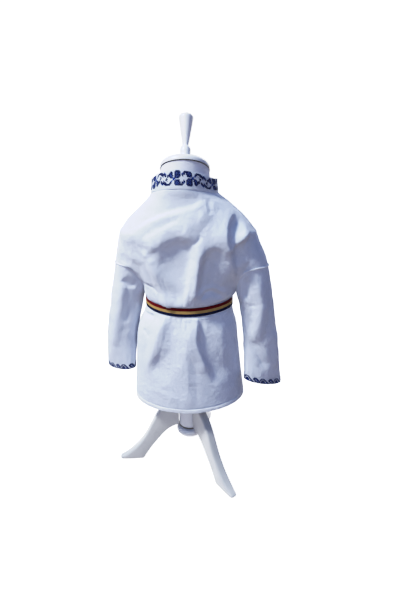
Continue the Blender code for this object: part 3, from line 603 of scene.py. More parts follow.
backCreases = [
    # yoke: soft drag lines from the right of the collar down to the left shoulder
    (-4.4, 9, 26, [(47, 575), (27, 557), (4, 551), (-25, 543), (-60, 528), (-86, 514)]),
    (-2.4, 8, 13, [(14, 538), (-15, 525), (-45, 510), (-72, 496)]),
    (-1.8, 6, 6, [(50, 566), (55, 552), (57, 538)]),
    (1.5, 14, 14, [(62, 556), (40, 530), (10, 512)]),
    # the left arch: its overhanging edge, the long ridge below its left end and the deep valley
    (6.3, 60, 28, [(-54, 470), (-46, 481), (-35, 490), (-15, 500), (6, 505), (20, 503), (34, 494)]),
    (2.5, 30, 9, [(-62, 462), (-55, 471), (-46, 481), (-35, 490)]),
    (8.0, 16, 42, [(-17, 362), (-30, 405), (-41, 434), (-49, 458), (-54, 480)]),
    (2.2, 14, 26, [(-50, 474), (-75, 463), (-98, 456)]),
    (-5.0, 30, 44, [(-42, 440), (-26, 456), (-4, 466), (18, 466), (34, 458)]),
    (-15.0, 20, 44, [(25, 504), (13, 478), (8, 445), (1, 419), (-10, 372)]),
    (-1.4, 3, 4, [(-30, 446), (-25, 415), (-17, 384)]),
    (-1.2, 3, 3, [(-34, 438), (-33, 425), (-27, 402)]),
    # the ridge between the arches
    (4.0, 9, 18, [(50, 500), (40, 474), (35, 445), (29, 415), (18, 378)]),
    (-2.2, 4, 5, [(44, 504), (37, 495), (29, 488)]),
    # the right arch, with a small one over the belt
    (5.0, 40, 11, [(36, 458), (45, 476), (57, 486), (70, 488), (82, 481), (92, 464)]),
    (4.0, 8, 24, [(26, 380), (33, 415), (36, 438), (39, 458), (47, 480)]),
    (-8.0, 40, 8, [(60, 478), (48, 452), (44, 425), (39, 392)]),
    (1.2, 14, 14, [(76, 462), (78, 436), (71, 410)]),
    (2.6, 8, 7, [(28, 388), (38, 402), (50, 409), (64, 409), (78, 401), (90, 388)]),
    (-3.2, 3, 9, [(40, 390), (52, 404), (64, 404), (78, 390)]),
    # right shoulder and armpit
    (3.6, 6, 24, [(96, 548), (86, 527), (85, 502), (91, 476), (96, 445), (97, 420)]),
    (-9.0, 16, 13, [(107, 540), (99, 520), (99, 498), (103, 474), (106, 446)]),
    (4.6, 5, 11, [(124, 510), (110, 496), (88, 476)]),
    (-3.0, 5, 6, [(130, 512), (124, 498), (114, 482)]),
    # left armpit
    (3.6, 13, 5, [(-118, 434), (-104, 441), (-92, 439), (-84, 428), (-82, 406)]),
    (-5.0, 4, 12, [(-114, 428), (-101, 431), (-89, 424)]),
    (2.8, 12, 12, [(-74, 468), (-66, 435), (-62, 404)]),
    (-3.0, 5, 7, [(-84, 432), (-81, 410), (-73, 390)]),
    (-2.4, 3, 5, [(-86, 408), (-70, 410), (-54, 407), (-40, 396)]),
    # skirt: the dark wedge on the left, the long band in the middle and the crisp fold right of it
    (5.0, 12, 18, [(-24, 360), (-39, 323), (-49, 292), (-72, 232)]),
    (-6.5, 34, 18, [(-11, 360), (-14, 320), (-22, 285), (-40, 254), (-68, 228)]),
    (2.8, 16, 20, [(12, 352), (13, 295), (14, 240), (16, 162)]),
    (4.4, 7, 20, [(31, 360), (31, 328), (30, 309), (37, 285), (45, 264), (58, 242)]),
    (-6.0, 34, 9, [(42, 360), (42, 325), (43, 302), (51, 276), (60, 250), (69, 216)]),
    (1.2, 16, 16, [(72, 348), (77, 300), (82, 242)]),
    (-3.4, 4, 8, [(-84, 347), (-68, 347), (-52, 348)]),
    (-1.6, 6, 6, [(-79, 318), (-71, 312), (-63, 308)]),
    (1.2, 10, 10, [(-66, 205), (-34, 192), (0, 186)]),
]
frontCreases = [
    (4.5, 10, 16, [(-30, 556), (-44, 530), (-64, 498)]),
    (4.5, 16, 10, [(30, 556), (45, 530), (68, 496)]),
    (-3.5, 10, 10, [(-22, 540), (-30, 520), (-46, 500)]),
    (-3.0, 10, 10, [(24, 540), (34, 515), (48, 498)]),
    (4.5, 12, 18, [(-44, 492), (-60, 465), (-84, 437)]),
    (5.0, 16, 12, [(44, 494), (62, 470), (86, 442)]),
    (-5.5, 16, 20, [(-24, 512), (-34, 475), (-40, 430), (-34, 392)]),
    (-6.0, 20, 14, [(18, 480), (24, 450), (30, 392)]),
    (5.5, 14, 18, [(-4, 470), (0, 440), (4, 382)]),
    (4.0, 12, 14, [(-50, 450), (-46, 420), (-34, 382)]),
    (5.0, 18, 14, [(60, 456), (58, 425), (52, 384)]),
    (-2.5, 6, 6, [(14, 410), (17, 395), (18, 380)]),
    (-5.0, 12, 9, [(-86, 520), (-88, 490), (-92, 450)]),
    (-5.0, 9, 12, [(87, 524), (89, 495), (94, 448)]),
    (4.5, 18, 22, [(-46, 345), (-58, 290), (-72, 190)]),
    (-5.5, 14, 22, [(-24, 354), (-30, 300), (-42, 215)]),
    (4.0, 20, 20, [(0, 350), (2, 280), (2, 163)]),
    (-5.5, 22, 14, [(24, 354), (32, 300), (46, 230)]),
    (4.5, 20, 18, [(56, 345), (66, 290), (78, 195)]),
    (-2.0, 8, 8, [(74, 347), (82, 320), (88, 290)]),
]


gathers = {                                      # in millimetres
    "edges": ((371, 1), (354, -1)), "left": -82.0, "right": 88.0,
    "length": (10.0, 30.0), "lean": (-3.0, 3.0), "rise": (0.3, 0.9), "wide": (2.6, 4.6), "apart": (6.0, 13.0),
}


def gatherCreases(seed):
    # short uneven gathers that run out of the belt, above and below it
    pick = random.Random(seed)
    creases = []
    for edge, way in gathers["edges"]:
        x = gathers["left"]
        while x < gathers["right"]:
            length = pick.uniform(*gathers["length"])
            lean = x * 0.0035 * length + pick.uniform(*gathers["lean"])
            rise = pick.uniform(*gathers["rise"]) * pick.choice((1, -1, -1))
            wide = pick.uniform(*gathers["wide"])
            line = [(x, edge - 3 * way), (x + lean * 0.4, edge + length * 0.4 * way),
                    (x + lean, edge + length * way)]
            creases.append((rise, wide, wide, line))
            x += pick.uniform(*gathers["apart"])
    return creases


panels = {
    "back": {"creases": backCreases, "gatherSeed": 11, "noiseSeed": 3},
    "front": {"creases": frontCreases, "gatherSeed": 23, "noiseSeed": 8},
}
wrinkles = {                                     # in millimetres; pairs are a height and a size in metres
    "outward": 17.0, "inward": 7.5, "inwardAtArms": 3.5,      # folds inward stay clear of the form
    "soft": (0.8, 0.026), "broad": (0.6, 0.030), "narrow": (0.4, 0.014), "fine": (0.12, 0.0045),
    "stitchDip": 0.7, "hemStep": 0.5, "hemWave": (0.25, 0.006),
}


def clothRelief(face, x, height, share):
    seed = panels[face]["noiseSeed"]
    rise = creaseRise(panels[face]["creases"] + gatherCreases(panels[face]["gatherSeed"]), x, height)
    atArms = ramp(height, 0.40, 0.46) * (1.0 - 0.7 * ramp(height, 0.495, 0.52))
    inward = wrinkles["inward"] + wrinkles["inwardAtArms"] * atArms
    limit = np.where(rise > 0.0, wrinkles["outward"], inward) * mm
    relief = limit * np.tanh(rise / limit)
    relief += uneven(wrinkles["soft"], softNoise, x + 0.4 * height, height, seed)
    relief += uneven(wrinkles["broad"], crumple, x + 0.5 * height, height - 0.2 * x, seed + 3)
    relief += uneven(wrinkles["narrow"], crumple, x - 0.3 * height, height, seed + 4)
    relief += uneven(wrinkles["fine"], softNoise, x, height, seed + 2)
    aboveHem = height - hemHeight(face, x, share)
    relief -= wrinkles["stitchDip"] * mm * np.exp(-(((aboveHem - cut["hemStitch"]) / 0.0012) ** 2))
    relief += wrinkles["hemStep"] * mm * (1.0 - ramp(aboveHem, 0.0070, 0.0084))
    nearHem = np.exp(-((aboveHem / 0.006) ** 4))
    relief += uneven(wrinkles["hemWave"], softNoise, x, 0 * x, seed + 5) * nearHem
    # the cloth lies flat under the belt, at the collar and along the seams
    free = ramp(np.abs(height - beltMiddle), 0.0085, 0.013)
    free = free * ramp(cut["neck"][face] - 0.009 * share - height, 0.001, 0.014)
    return relief * (free * ramp(1.0 - share, 0.0, 0.12))


def panelPoint(hand, width, height, face, share):
    x = hand * width + atLevel(body, "sway", height)
    depth = clothDepth(width, height, face)
    return np.stack((x, -depth if face == "back" else depth, height + sideLift(share, height)), axis=-1)


def panelPoints(face, halfColumns):
    # the columns of both halves; the fourth value is the share of the way to the seam
    centre, width, end = (column[:, None] for column in panelRows(face))
    spread = np.linspace(0.0, 1.0, halfColumns + 1)[None, :]
    spread = 0.35 * spread + 0.65 * np.sin(pi / 2 * spread)
    first = slitHalfWidth(centre) if face == "front" else 0.0 * centre
    halves = []
    for hand in (-1, 1):
        lift = cut["hemTilt"] * hand * width * (1.0 - ramp(end, cut["hemSide"], 0.31))
        reach = np.where(lift != 0.0, atLevel(body, "width", end + lift), width)
        x = first + (reach - first) * spread
        share = x / reach
        height = centre + (end - centre) * share**2 + lift * share
        halves.append(np.concatenate((panelPoint(hand, x, height, face, share), share[..., None]), axis=2))
    return np.concatenate((halves[0][:, ::-1], halves[1]), axis=1)


def makePanel(face):
    name, middle = face + "Cloth", 76
    points = panelPoints(face, middle)
    share, points = points[..., 3], points[..., :3]
    normals = gridNormals(points)
    for j in (middle, middle + 1):               # the two halves share their normals where they meet
        normals[:, j] = (normals[:, middle - 1] + normals[:, middle + 2]) / 2
    if face == "front":
        normals = -normals
    relief = clothRelief(face, points[..., 0], points[..., 2], share)
    points = points + normals * relief[..., None]
    mesh = gridMesh(name, points, flip=face == "front", skip=middle, weld=0.00012)
    panel = addPiece(name, mesh, [cotton, seamCloth])
    for polygon in mesh.polygons:                # the turned hem is double, so it reads whiter
        x, z = polygon.center.x, polygon.center.z
        polygon.material_index = int(z < hemHeight(face, x, x / cut["hemHalfWidth"]) + cut["hemFold"])
    thicken(panel, cut["cloth"])
    return panel, points


backCloth, backPoints = makePanel("back")
frontCloth, frontPoints = makePanel("front")
print("back and front made")


# ---- sleeves; creases here run in degrees round the sleeve (90 at the back, 180 outside) and millimetres

handNames = {1: "Right", -1: "Left"}
sleeves = {
    1: {"edge": 0.2045, "slant": 0.28, "seed": 31, "creases": [
        (5.5, 17, 14, [(114, 434), (111, 412), (112, 393), (109, 372), (90, 338), (50, 290)]),
        (-4.0, 15, 12, [(55, 304), (68, 272), (88, 238)]),
        (-4.0, 8, 8, [(78, 430), (72, 405), (66, 380)]),
        (-1.4, 4, 6, [(8, 376), (40, 375), (76, 372), (110, 377)]),
        (1.2, 6, 6, [(30, 360), (40, 330), (46, 300)]),
        (2.0, 14, 10, [(146, 320), (136, 280), (124, 236)]),
        (-1.2, 7, 7, [(150, 405), (143, 380), (150, 345)]),
        (3.0, 16, 16, [(250, 396), (246, 340), (240, 285)]),
        (-3.2, 16, 14, [(292, 380), (284, 320), (275, 250)]),
        (1.6, 9, 9, [(215, 330), (225, 300), (240, 266)]),
    ]},
    -1: {"edge": 0.2125, "slant": 0.15, "seed": 47, "creases": [
        (4.0, 18, 13, [(106, 416), (96, 392), (90, 371), (90, 328), (92, 240)]),
        (-2.4, 8, 8, [(84, 410), (76, 390), (68, 360), (60, 320)]),
        (2.0, 9, 9, [(38, 380), (40, 330), (44, 285)]),
        (-4.5, 6, 18, [(104, 414), (80, 403), (50, 398)]),
        (-1.6, 9, 9, [(140, 330), (130, 300), (128, 258)]),
        (-3.0, 14, 16, [(246, 386), (240, 330), (235, 270)]),
        (3.0, 16, 14, [(286, 394), (282, 340), (280, 285)]),
        (1.5, 9, 9, [(215, 300), (222, 270), (236, 242)]),
    ]},
}
cuffs = {"height": 0.0125, "thickness": 0.0012, "out": 0.0005, "steps": 96, "rows": 7}
degreeWidth = 0.00055                            # metres of cloth for a degree round the sleeve
sleeveWrinkles = {
    "soft": (0.7, 0.016), "broad": (0.6, 0.022), "narrow": (0.3, 0.010), "gather": 0.5, "gathers": 17,
}


def sleevePoint(height, around, hand, swell):
    middle, halfLength, thickness, turn = sleeveSection(height)
    along = -(halfLength + swell) * np.cos(around)
    across = -(thickness + swell) * np.sin(around)
    sway = np.where(height > cut["underarm"], atLevel(body, "sway", height), atLevel(arm, "sway", height))
    sideways = along * np.cos(turn) - across * np.sin(turn)
    edge = sleeves[hand]["edge"]
    drop = sleeves[hand]["slant"] * sideways * (1.0 - ramp(height, edge + cuffs["height"], edge + 0.11))
    depth = along * np.sin(turn) + across * np.cos(turn)
    return np.stack((hand * (middle + sideways) + sway, depth, height - drop), axis=-1)


def makeSleeve(hand):
    name, seed = "sleeve" + handNames[hand], sleeves[hand]["seed"]
    around = np.linspace(0.0, tau, 96, endpoint=False)[None, :]
    cuffSeam = sleeves[hand]["edge"] + cuffs["height"]
    top = armholeHeight(around)
    share = np.concatenate((np.linspace(0.0, 0.06, 9)[:-1], np.linspace(0.06, 0.95, 84),
                            np.linspace(0.95, 1.0, 8)[1:]))
    height = top + (cuffSeam - top) * share[:, None]
    around = np.broadcast_to(around, height.shape)
    free = ramp(height, cuffSeam, cuffSeam + 0.018) * ramp(top - height, 0.001, 0.022)
    x = around * 180.0 / pi * degreeWidth
    creases = [(rise, left, right, [(degrees * degreeWidth / mm, z) for degrees, z in points])
               for rise, left, right, points in sleeves[hand]["creases"]]
    swell = creaseRise(creases, x, height)
    loop = 3.0 * np.cos(around) * 0.01
    swell += uneven(sleeveWrinkles["soft"], softNoise, loop, height + 0.02 * np.sin(around), seed)
    offSeam = np.minimum(1.0, np.abs(np.sin(around / 2)) * 4)     # crumples don't join up at the inner seam
    swell += uneven(sleeveWrinkles["broad"], crumple, x, height - 0.3 * x, seed + 1) * offSeam
    swell += uneven(sleeveWrinkles["narrow"], crumple, x, height, seed + 2) * offSeam
    gather = np.sin(around * sleeveWrinkles["gathers"] + 1.5 * np.sin(3 * around))
    gather = sleeveWrinkles["gather"] * mm * gather * ramp(0.030 - (height - cuffSeam), 0.0, 0.03)
    swell = swell * free + gather * ramp(height, cuffSeam, cuffSeam + 0.004)
    mesh = gridMesh(name, sleevePoint(height, around, hand, swell), closed=True, flip=hand == 1)
    sleeve = addPiece(name, mesh, [cotton])
    thicken(sleeve, cut["cloth"])
    return sleeve


sleeveRight, sleeveLeft = makeSleeve(1), makeSleeve(-1)
print("sleeves made")


# ---- bands: cuffs, collar and belt are strips with rounded edges

def makeBand(name, place, spec, materials, closed=True):
    # place(share along, height, out) gives points; the strip's section is a loop with rounded corners
    height, thickness = spec["height"], spec["thickness"]
    radius = thickness / 2
    rise = np.linspace(radius, height - radius, spec["rows"])
    turn = np.radians(np.linspace(-90, 90, 5))[1:-1]
    section = [(up, 0.0) for up in rise]
    section += [(height - radius + radius * cos(a), -radius - radius * sin(a)) for a in turn]
    section += [(up, -thickness) for up in rise[::-1]]
    section += [(radius - radius * cos(a), -radius + radius * sin(a)) for a in turn]
    section.append(section[0])
    share = np.linspace(0.0, 1.0, spec["steps"], endpoint=not closed)
    points = np.stack([place(share, up + 0.0 * share, out) for up, out in section])
    mesh = gridMesh(name, points, closed=closed, weld=0.00001)
    if not closed:
        closeEnds(mesh)
    return addPiece(name, mesh, materials)


def cuffPlace(hand):
    def place(share, up, out):
        around = np.mod(-hand * share * tau, tau)
        return sleevePoint(sleeves[hand]["edge"] + up, around, hand, cuffs["out"] + out)
    return place


def makeCuff(hand):
    return makeBand("cuff" + handNames[hand], cuffPlace(hand), cuffs, [bandCloth])


cuffRight, cuffLeft = makeCuff(1), makeCuff(-1)

collar = {
    "height": 0.0315, "thickness": 0.0014, "steps": 200, "rows": 10, "out": 0.0006,
    "leanBack": 0.0060, "leanSide": 0.0015, "seamDip": 0.0012, "topDip": 0.22, "uneven": (0.35, 0.02),
}


def neckSeam(angle):
    # the collar seam, 0 at the centre back, positive to the wearer's right
    face = np.abs(angle) <= pi / 2
    centre = np.where(face, cut["neck"]["back"], cut["neck"]["front"])
    height = centre + (cut["neckSide"] - centre) * np.sin(angle) ** 2
    width = cut["neckHalfWidth"] * np.abs(np.sin(angle))
    depth = np.where(face, -clothDepth(width, height, "back"), clothDepth(width, height, "front"))
    return np.stack((np.sign(angle) * width + atLevel(body, "sway", height), depth, height), axis=-1)


collarAngles = np.linspace(-1.0, 1.0, 1201) * (pi - cut["slitHalfWidth"] / cut["neckHalfWidth"])
collarRun = runLength(neckSeam(collarAngles))
collarLength = collarRun[-1]


def collarPlace(share, up, out):
    angle = np.interp(share * collarLength, collarRun, collarAngles)
    seam = neckSeam(angle)
    lean = collar["leanSide"] + (collar["leanBack"] - collar["leanSide"]) * np.abs(np.cos(angle))
    out = out + collar["out"] - lean * up / collar["height"]
    out = out + uneven(collar["uneven"], softNoise, share * collarLength, up, 61)
    place = seam + unit(seam * (1.0, 1.0, 0.0)) * np.asarray(out)[..., None]
    dip = np.sin(angle) ** 2                     # it stands lower over the shoulders
    place[..., 2] += up * (1.0 - collar["topDip"] * dip) - collar["seamDip"] * dip
    return place


collarBand = makeBand("collarBand", collarPlace, collar, [bandCloth], closed=False)
print("collar and cuffs made")


# ---- cross stitch, worked from charts: n navy, b mid blue

scrollChart = [
    "...............nnnnn....",
    "bb.......nn...nnnnnnn...",
    "nnb.....nnnn..nnbnnbn..b",
    "nnnb...nnbnn..nnbnnbn.nb",
    ".nnn.nnnnbnn..nnnnnnn.nn",
    "..nn.nnnnbbnn.nnbnbnn..n",
    ".....nn.nnbn..nnbnnn....",
    "....n....nnnbbnnnnn.....",
    "...nnn......bbb.........",
    "b..nn.......bb.bbnnn....",
    "nn...n....bb..nnnnnn....",
    "nnnn.....nb...nnbbnnn.nn",
    "nnnnn...nnn...nbnnbnn.nn",
    ".nnnnnnnnn....nnbbnnnnnn",
    "...nnnnnn......nnnnnnnn.",
]
turnedChart = [row[::-1] for row in scrollChart[::-1]]
collarChart = [turned[15:] + row + turned[:15] for row, turned in zip(scrollChart, turnedChart)]
cuffChart = [
    "..nnn.....nnnn..",
    ".nnbnn...nn..nn.",
    "nnb.nn..nn.nn.n.",
    "nb.nn..nn.nnnn.n",
    ".nnn..nnb.nbnn.n",
    "nn..nnnn.nnnnnnn",
]
stitches = {
    "width": 0.78, "margin": 0.06,               # shares of a square of the chart
    "rise": 0.00015, "over": 0.00022, "round": 0.00022, "sunk": 0.0001, "clear": 0.0001,
    "collar": {"pitch": 0.00160, "base": 0.0062}, "cuff": {"pitch": 0.00200, "base": 0.0003},
}


def crossStitches(name, chart, place, length, pitch, base, closed=False):
    # each stitch is two half-round threads, the second over the first
    repeats = max(1, round(length / pitch / len(chart[0])))
    columns = repeats * len(chart[0])
    wide = length / columns
    across = np.array([-0.5, 0.0, 0.5]) * stitches["width"] * pitch
    along = np.array([stitches["margin"], 0.5, 1.0 - stitches["margin"]])
    cells = [(c, r, chart[r][c % len(chart[0])]) for r in range(len(chart)) for c in range(columns)]
    spots, faces, slots = [], [], []
    for c, r, colour in cells:
        if colour == ".":
            continue
        for thread, way in enumerate((1, -1)):
            o = len(spots)
            for i, v in enumerate(along):
                u = c + (v if way == 1 else 1.0 - v)
                crown = stitches["rise"] + stitches["over"] * thread if i == 1 else 0.0
                for j, side in enumerate(across):
                    bulge = crown + (stitches["round"] if j == 1 else -stitches["sunk"])
                    up = base + (len(chart) - 1 - r + v) * pitch + side * 0.7
                    spots.append((u * wide - way * side * 0.7, up, bulge + stitches["clear"]))
            for k in (o, o + 1, o + 3, o + 4):
                faces.append((k, k + 1, k + 4, k + 3)[::way])
                slots.append("nb".index(colour))
    spots = np.array(spots)
    share = spots[:, 0] / length
    share = np.mod(share, 1.0) if closed else np.clip(share, 0.0, 1.0)
    mesh = bpy.data.meshes.new(name)
    mesh.from_pydata([tuple(point) for point in place(share, spots[:, 1], spots[:, 2])], [], faces)
    mesh.polygons.foreach_set("material_index", slots)
    mesh.update()
    return addPiece(name, mesh, [navyThread, blueThread])


def cuffStitches(hand):
    place = cuffPlace(hand)
    even = np.linspace(0.0, 1.0, 97)
    run = runLength(place(even, np.full(97, cuffs["height"] / 2), 0.0))

    def evenPlace(share, up, out):
        return place(np.interp(share, run / run[-1], even), up, out)
    return crossStitches("cuffStitch" + handNames[hand], cuffChart, evenPlace, run[-1],
                         **stitches["cuff"], closed=True)


collarStitch = crossStitches("collarStitch", collarChart, collarPlace, collarLength, **stitches["collar"])
cuffStitchRight, cuffStitchLeft = cuffStitches(1), cuffStitches(-1)
print("cross stitch made")


# ---- belt: three woven stripes

belt = {
    "height": cut["beltHigh"] - cut["beltLow"], "thickness": 0.0011, "clear": 0.0004,
    "steps": 240, "rows": 13, "uneven": (0.5, 0.03), "lift": 0.0006,
    "colours": {                                 # from the bottom up
        "ribbonNavy": ((0.0015, 0.004, 0.025), (0.001, 0.002, 0.014)),
        "ribbonGold": ((0.54, 0.33, 0.105), (0.37, 0.22, 0.07)),
        "ribbonRed": ((0.13, 0.002, 0.005), (0.08, 0.0015, 0.003)),
    },
    "borders": (0.37, 0.65),                     # shares of the belt's height
}


def beltPlace(share, up, out):
    angle = share * tau
    height = cut["beltLow"] + up
    out = belt["clear"] + belt["thickness"] + out + uneven(belt["uneven"], softNoise, angle * 0.07, up, 71)
    lift = belt["lift"] * np.sin(2 * angle + 0.6) + sideLift(np.sin(angle), height)
    return np.stack((*ovalPlace(body, angle, height, out), height + lift), axis=-1)


def makeBelt():
    stripes = [ribbonMaterial(name, *colours) for name, colours in belt["colours"].items()]
    piece = makeBand("beltRibbon", beltPlace, belt, stripes)
    for polygon in piece.data.polygons:          # its rows run up the outside, over and down the inside
        row = polygon.index // belt["steps"]
        up = row if row < belt["rows"] else 2 * belt["rows"] + 1 - row
        polygon.material_index = int(np.searchsorted(belt["borders"], (up + 0.5) / (belt["rows"] - 1)))
    return piece


beltRibbon = makeBelt()
print("belt made")


# ---- seams: welts along the armholes and running stitches along the hems

seams = {
    "weltRadius": 0.0012, "stitchRadius": 0.00028, "sides": 6, "squash": 0.8,
    "step": 0.0004, "stitch": 6, "gap": 2,       # in steps along the hem
}


def cordMesh(bm, line, radius):
    run = unit(np.gradient(line, axis=0))
    flat = line * (1.0, 1.0, 0.0)
    out = unit(flat - run * np.sum(flat * run, axis=1, keepdims=True))
    side = np.cross(run, out)
    sides = seams["sides"]
    rings = []
    for point, outward, sideways in zip(line, out, side):
        ring = []
        for k in range(sides):
            angle = tau * k / sides
            offset = seams["squash"] * cos(angle) * outward + sin(angle) * sideways
            ring.append(bm.verts.new(point + radius * offset))
        rings.append(ring)
    for low, high in zip(rings, rings[1:]):
        for k in range(sides):
            n = (k + 1) % sides
            bm.faces.new((low[k], low[n], high[n], high[k]))
    bm.faces.new(rings[0][::-1])
    bm.faces.new(rings[-1])


def makeCord(name, lines, radius, material):
    bm = bmesh.new()
    for line in lines:
        cordMesh(bm, line, radius)
    return addPiece(name, bakeMesh(name, bm), [material])


def makeWelt(hand):
    around = np.linspace(0.0, tau, 120)
    line = sleevePoint(armholeHeight(around), around, hand, 0.0009)
    return makeCord("welt" + handNames[hand], [line], seams["weltRadius"], seamCloth)


def hemStitches(name, points):
    # short lengths of thread that lie on the cloth
    rows = []
    for column in points.transpose(1, 0, 2):
        height = column[0, 2] + cut["hemStitch"]
        rows.append([np.interp(height, column[:, 2], column[:, k]) for k in range(3)])
    line = np.array(rows)
    line = line + unit(line * (1.0, 1.0, 0.0)) * 0.0001
    run = runLength(line)
    stations = np.linspace(0.0, run[-1], round(run[-1] / seams["step"]))
    line = np.stack([np.interp(stations, run, line[:, k]) for k in range(3)], axis=1)
    starts = range(0, len(line) - seams["stitch"], seams["stitch"] + seams["gap"])
    lines = [line[i:i + seams["stitch"] + 1:2] for i in starts]
    return makeCord(name, lines, seams["stitchRadius"], whiteThread)


weltRight, weltLeft = makeWelt(1), makeWelt(-1)
backHemStitch = hemStitches("backHemStitch", backPoints)
frontHemStitch = hemStitches("frontHemStitch", frontPoints)
print("seams made")


# ---- dress form

form = levels("height width back front sway", [
    (0.1900, 0.0850, 0.0630, 0.0650, 0.0000),
    (0.2250, 0.0870, 0.0645, 0.0670, 0.0000),
    (0.2700, 0.0860, 0.0630, 0.0650, 0.0000),
    (0.3150, 0.0840, 0.0600, 0.0615, 0.0010),
    (0.3610, 0.0822, 0.0580, 0.0590, 0.0040),
    (0.4000, 0.0830, 0.0590, 0.0610, 0.0045),
    (0.4350, 0.0860, 0.0590, 0.0630, 0.0045),
    (0.4600, 0.0940, 0.0580, 0.0625, 0.0045),
    (0.4800, 0.1090, 0.0565, 0.0605, 0.0042),
    (0.4900, 0.1175, 0.0555, 0.0590, 0.0040),
    (0.4980, 0.1215, 0.0545, 0.0575, 0.0040),
    (0.5050, 0.1215, 0.0535, 0.0560, 0.0040),
    (0.5130, 0.1175, 0.0530, 0.0550, 0.0040),
    (0.5240, 0.1090, 0.0520, 0.0540, 0.0040),
    (0.5350, 0.0985, 0.0515, 0.0530, 0.0045),
    (0.5450, 0.0865, 0.0510, 0.0525, 0.0048),
    (0.5560, 0.0740, 0.0500, 0.0510, 0.0042),
    (0.5660, 0.0615, 0.0480, 0.0490, 0.0030),
    (0.5740, 0.0530, 0.0462, 0.0465, 0.0030),
    (0.5820, 0.0470, 0.0445, 0.0445, 0.0030),
    (0.5900, 0.0444, 0.0438, 0.0435, 0.0030),
])
neck = {"sway": 0.0030, "top": 0.6105, "tilt": radians(24.0), "turn": radians(6.0), "radius": 0.0432}
neckTurn = Matrix.Rotation(neck["turn"], 3, "Z") @ Matrix.Rotation(-neck["tilt"], 3, "X")


def makeForm():
    angle = np.linspace(0.0, tau, 96, endpoint=False)
    heights = np.linspace(form["height"][0], form["height"][-1], 110)[:, None]
    x, y = ovalPlace(form, angle, heights)
    rings = np.stack((x, y, heights + 0.0 * x), axis=-1)
    top = circle(96) * neck["radius"] @ np.array(neckTurn).T + (neck["sway"], 0.0, neck["top"] - 0.0003)
    funnel = [rings[-1] + (top - rings[-1]) * share for share in np.linspace(0.0, 1.0, 13)[1:]]
    underside = [rings[0] * (share, share, 1.0) for share in (0.3, 0.7)]
    mesh = gridMesh("formCover", np.concatenate((underside, rings, funnel)), closed=True)
    closeEnds(mesh)
    return addPiece("formCover", mesh, [coverCloth], sharpAngle=50)


formCover = makeForm()


# ---- turned and sawn wood

def arc(centre, radius, start, end, steps):
    angles = [radians(start + (end - start) * i / steps) for i in range(steps + 1)]
    return [(centre[0] + radius * cos(a), centre[1] + radius * sin(a)) for a in angles]


def turnedPiece(name, profile, material, neckPlace=None):
    # a profile of (radius, height) from the top down; on the neck it stands tilted
    rows = [circle(72) * radius + (0.0, 0.0, height) for radius, height in profile]
    mesh = gridMesh(name, np.stack(rows), closed=True, flip=True, weld=0.00001)
    piece = addPiece(name, mesh, [material], sharpAngle=40)
    if neckPlace:
        piece.location = neckPlace
        piece.rotation_euler = (-neck["tilt"], 0.0, neck["turn"])
    return piece


cap = {"radius": 0.0437, "height": 0.0170, "rim": 0.004, "land": 0.0135, "edge": 0.001}
# the dark ring under the cap's rim, painted shade in the gap there
capShadeRingProfile = [(0.0, -0.0014), (0.0434, -0.0014), (0.0441, -0.0010), (0.0441, 0.0004), (0.0434, 0.0008),
                  (0.0, 0.0008)]
finial = {
    "length": 0.0845, "knob": 0.0127, "corner": 0.0045, "waist": 0.0049, "waistHeight": 0.0275,
    "foot": [(0.0053, 0.0264), (0.0068, 0.0250), (0.0081, 0.0230), (0.0089, 0.0204), (0.0091, 0.0176),
             (0.0088, 0.0146), (0.0083, 0.0118), (0.0081, 0.0092), (0.0085, 0.0064), (0.0098, 0.0034),
             (0.0117, 0.0012), (0.0125, 0.0), (0.0, 0.0)],
}
seat = Vector((neck["sway"], 0.0, neck["top"]))


def makeCap():
    land, rim = cap["land"], cap["rim"]
    profile = [(0.0, cap["height"]), (land, cap["height"])]
    for angle in np.linspace(0.0, pi / 2, 17)[1:]:
        profile.append((land + (cap["radius"] - land) * sin(angle), rim + (cap["height"] - rim) * cos(angle)))
    profile += arc((cap["radius"] - cap["edge"], cap["edge"]), cap["edge"], 0, -90, 3) + [(0.0, 0.0)]
    return turnedPiece("neckCap", profile, whitePaint, seat)


def makeFinial():
    length, knob, corner, waist = finial["length"], finial["knob"], finial["corner"], finial["waist"]
    shoulder = length - corner - 0.001
    profile = [(0.0, length), (0.35 * knob, length - 0.0001), (knob - corner, length - 0.0005)]
    profile += arc((knob - corner, shoulder), corner, 68, 0, 7)
    for share in np.linspace(0.0, 1.0, 15)[1:]:
        height = shoulder + (finial["waistHeight"] - shoulder) * share
        profile.append((knob + (waist - knob) * share**1.05, height))
    place = seat + neckTurn @ Vector((0.0, 0.0, cap["height"] + 0.0002))
    return turnedPiece("finialKnob", profile + finial["foot"], whitePaint, place)


post = {
    "top": 0.1897, "bottom": 0.0840, "radius": 0.0235, "edge": 0.0015,
    "bunTop": 0.0837, "bunBottom": 0.0605, "bunRadius": 0.0295, "bunCurl": 0.0120,
    "bunStep": [(0.0215, 0.0), (0.0215, 0.0032), (0.0255, 0.0042), (0.0275, 0.0052)],      # radius, depth
    "ringRadius": 0.0238, "ringDepth": 0.0030,
}


def makePost():
    top, bottom, radius, edge = post["top"], post["bottom"], post["radius"], post["edge"]
    profile = [(0.0, top), (radius - 0.001, top), (radius, top - 0.001)]
    profile += [(radius, bottom + (top - bottom) * share) for share in (0.8, 0.6, 0.4, 0.2)]
    profile += arc((radius - edge, bottom + edge), edge, 0, -90, 4) + [(0.0, bottom)]
    return turnedPiece("standPost", profile, whitePaint)


def makeBun():
    top, bottom, curl = post["bunTop"], post["bunBottom"], post["bunCurl"]
    profile = [(0.0, top)] + [(radius, top - depth) for radius, depth in post["bunStep"]]
    profile += arc((post["bunRadius"] - curl, bottom + curl), curl, 34, -90, 14) + [(0.0, bottom)]
    return turnedPiece("postBun", profile, whitePaint)


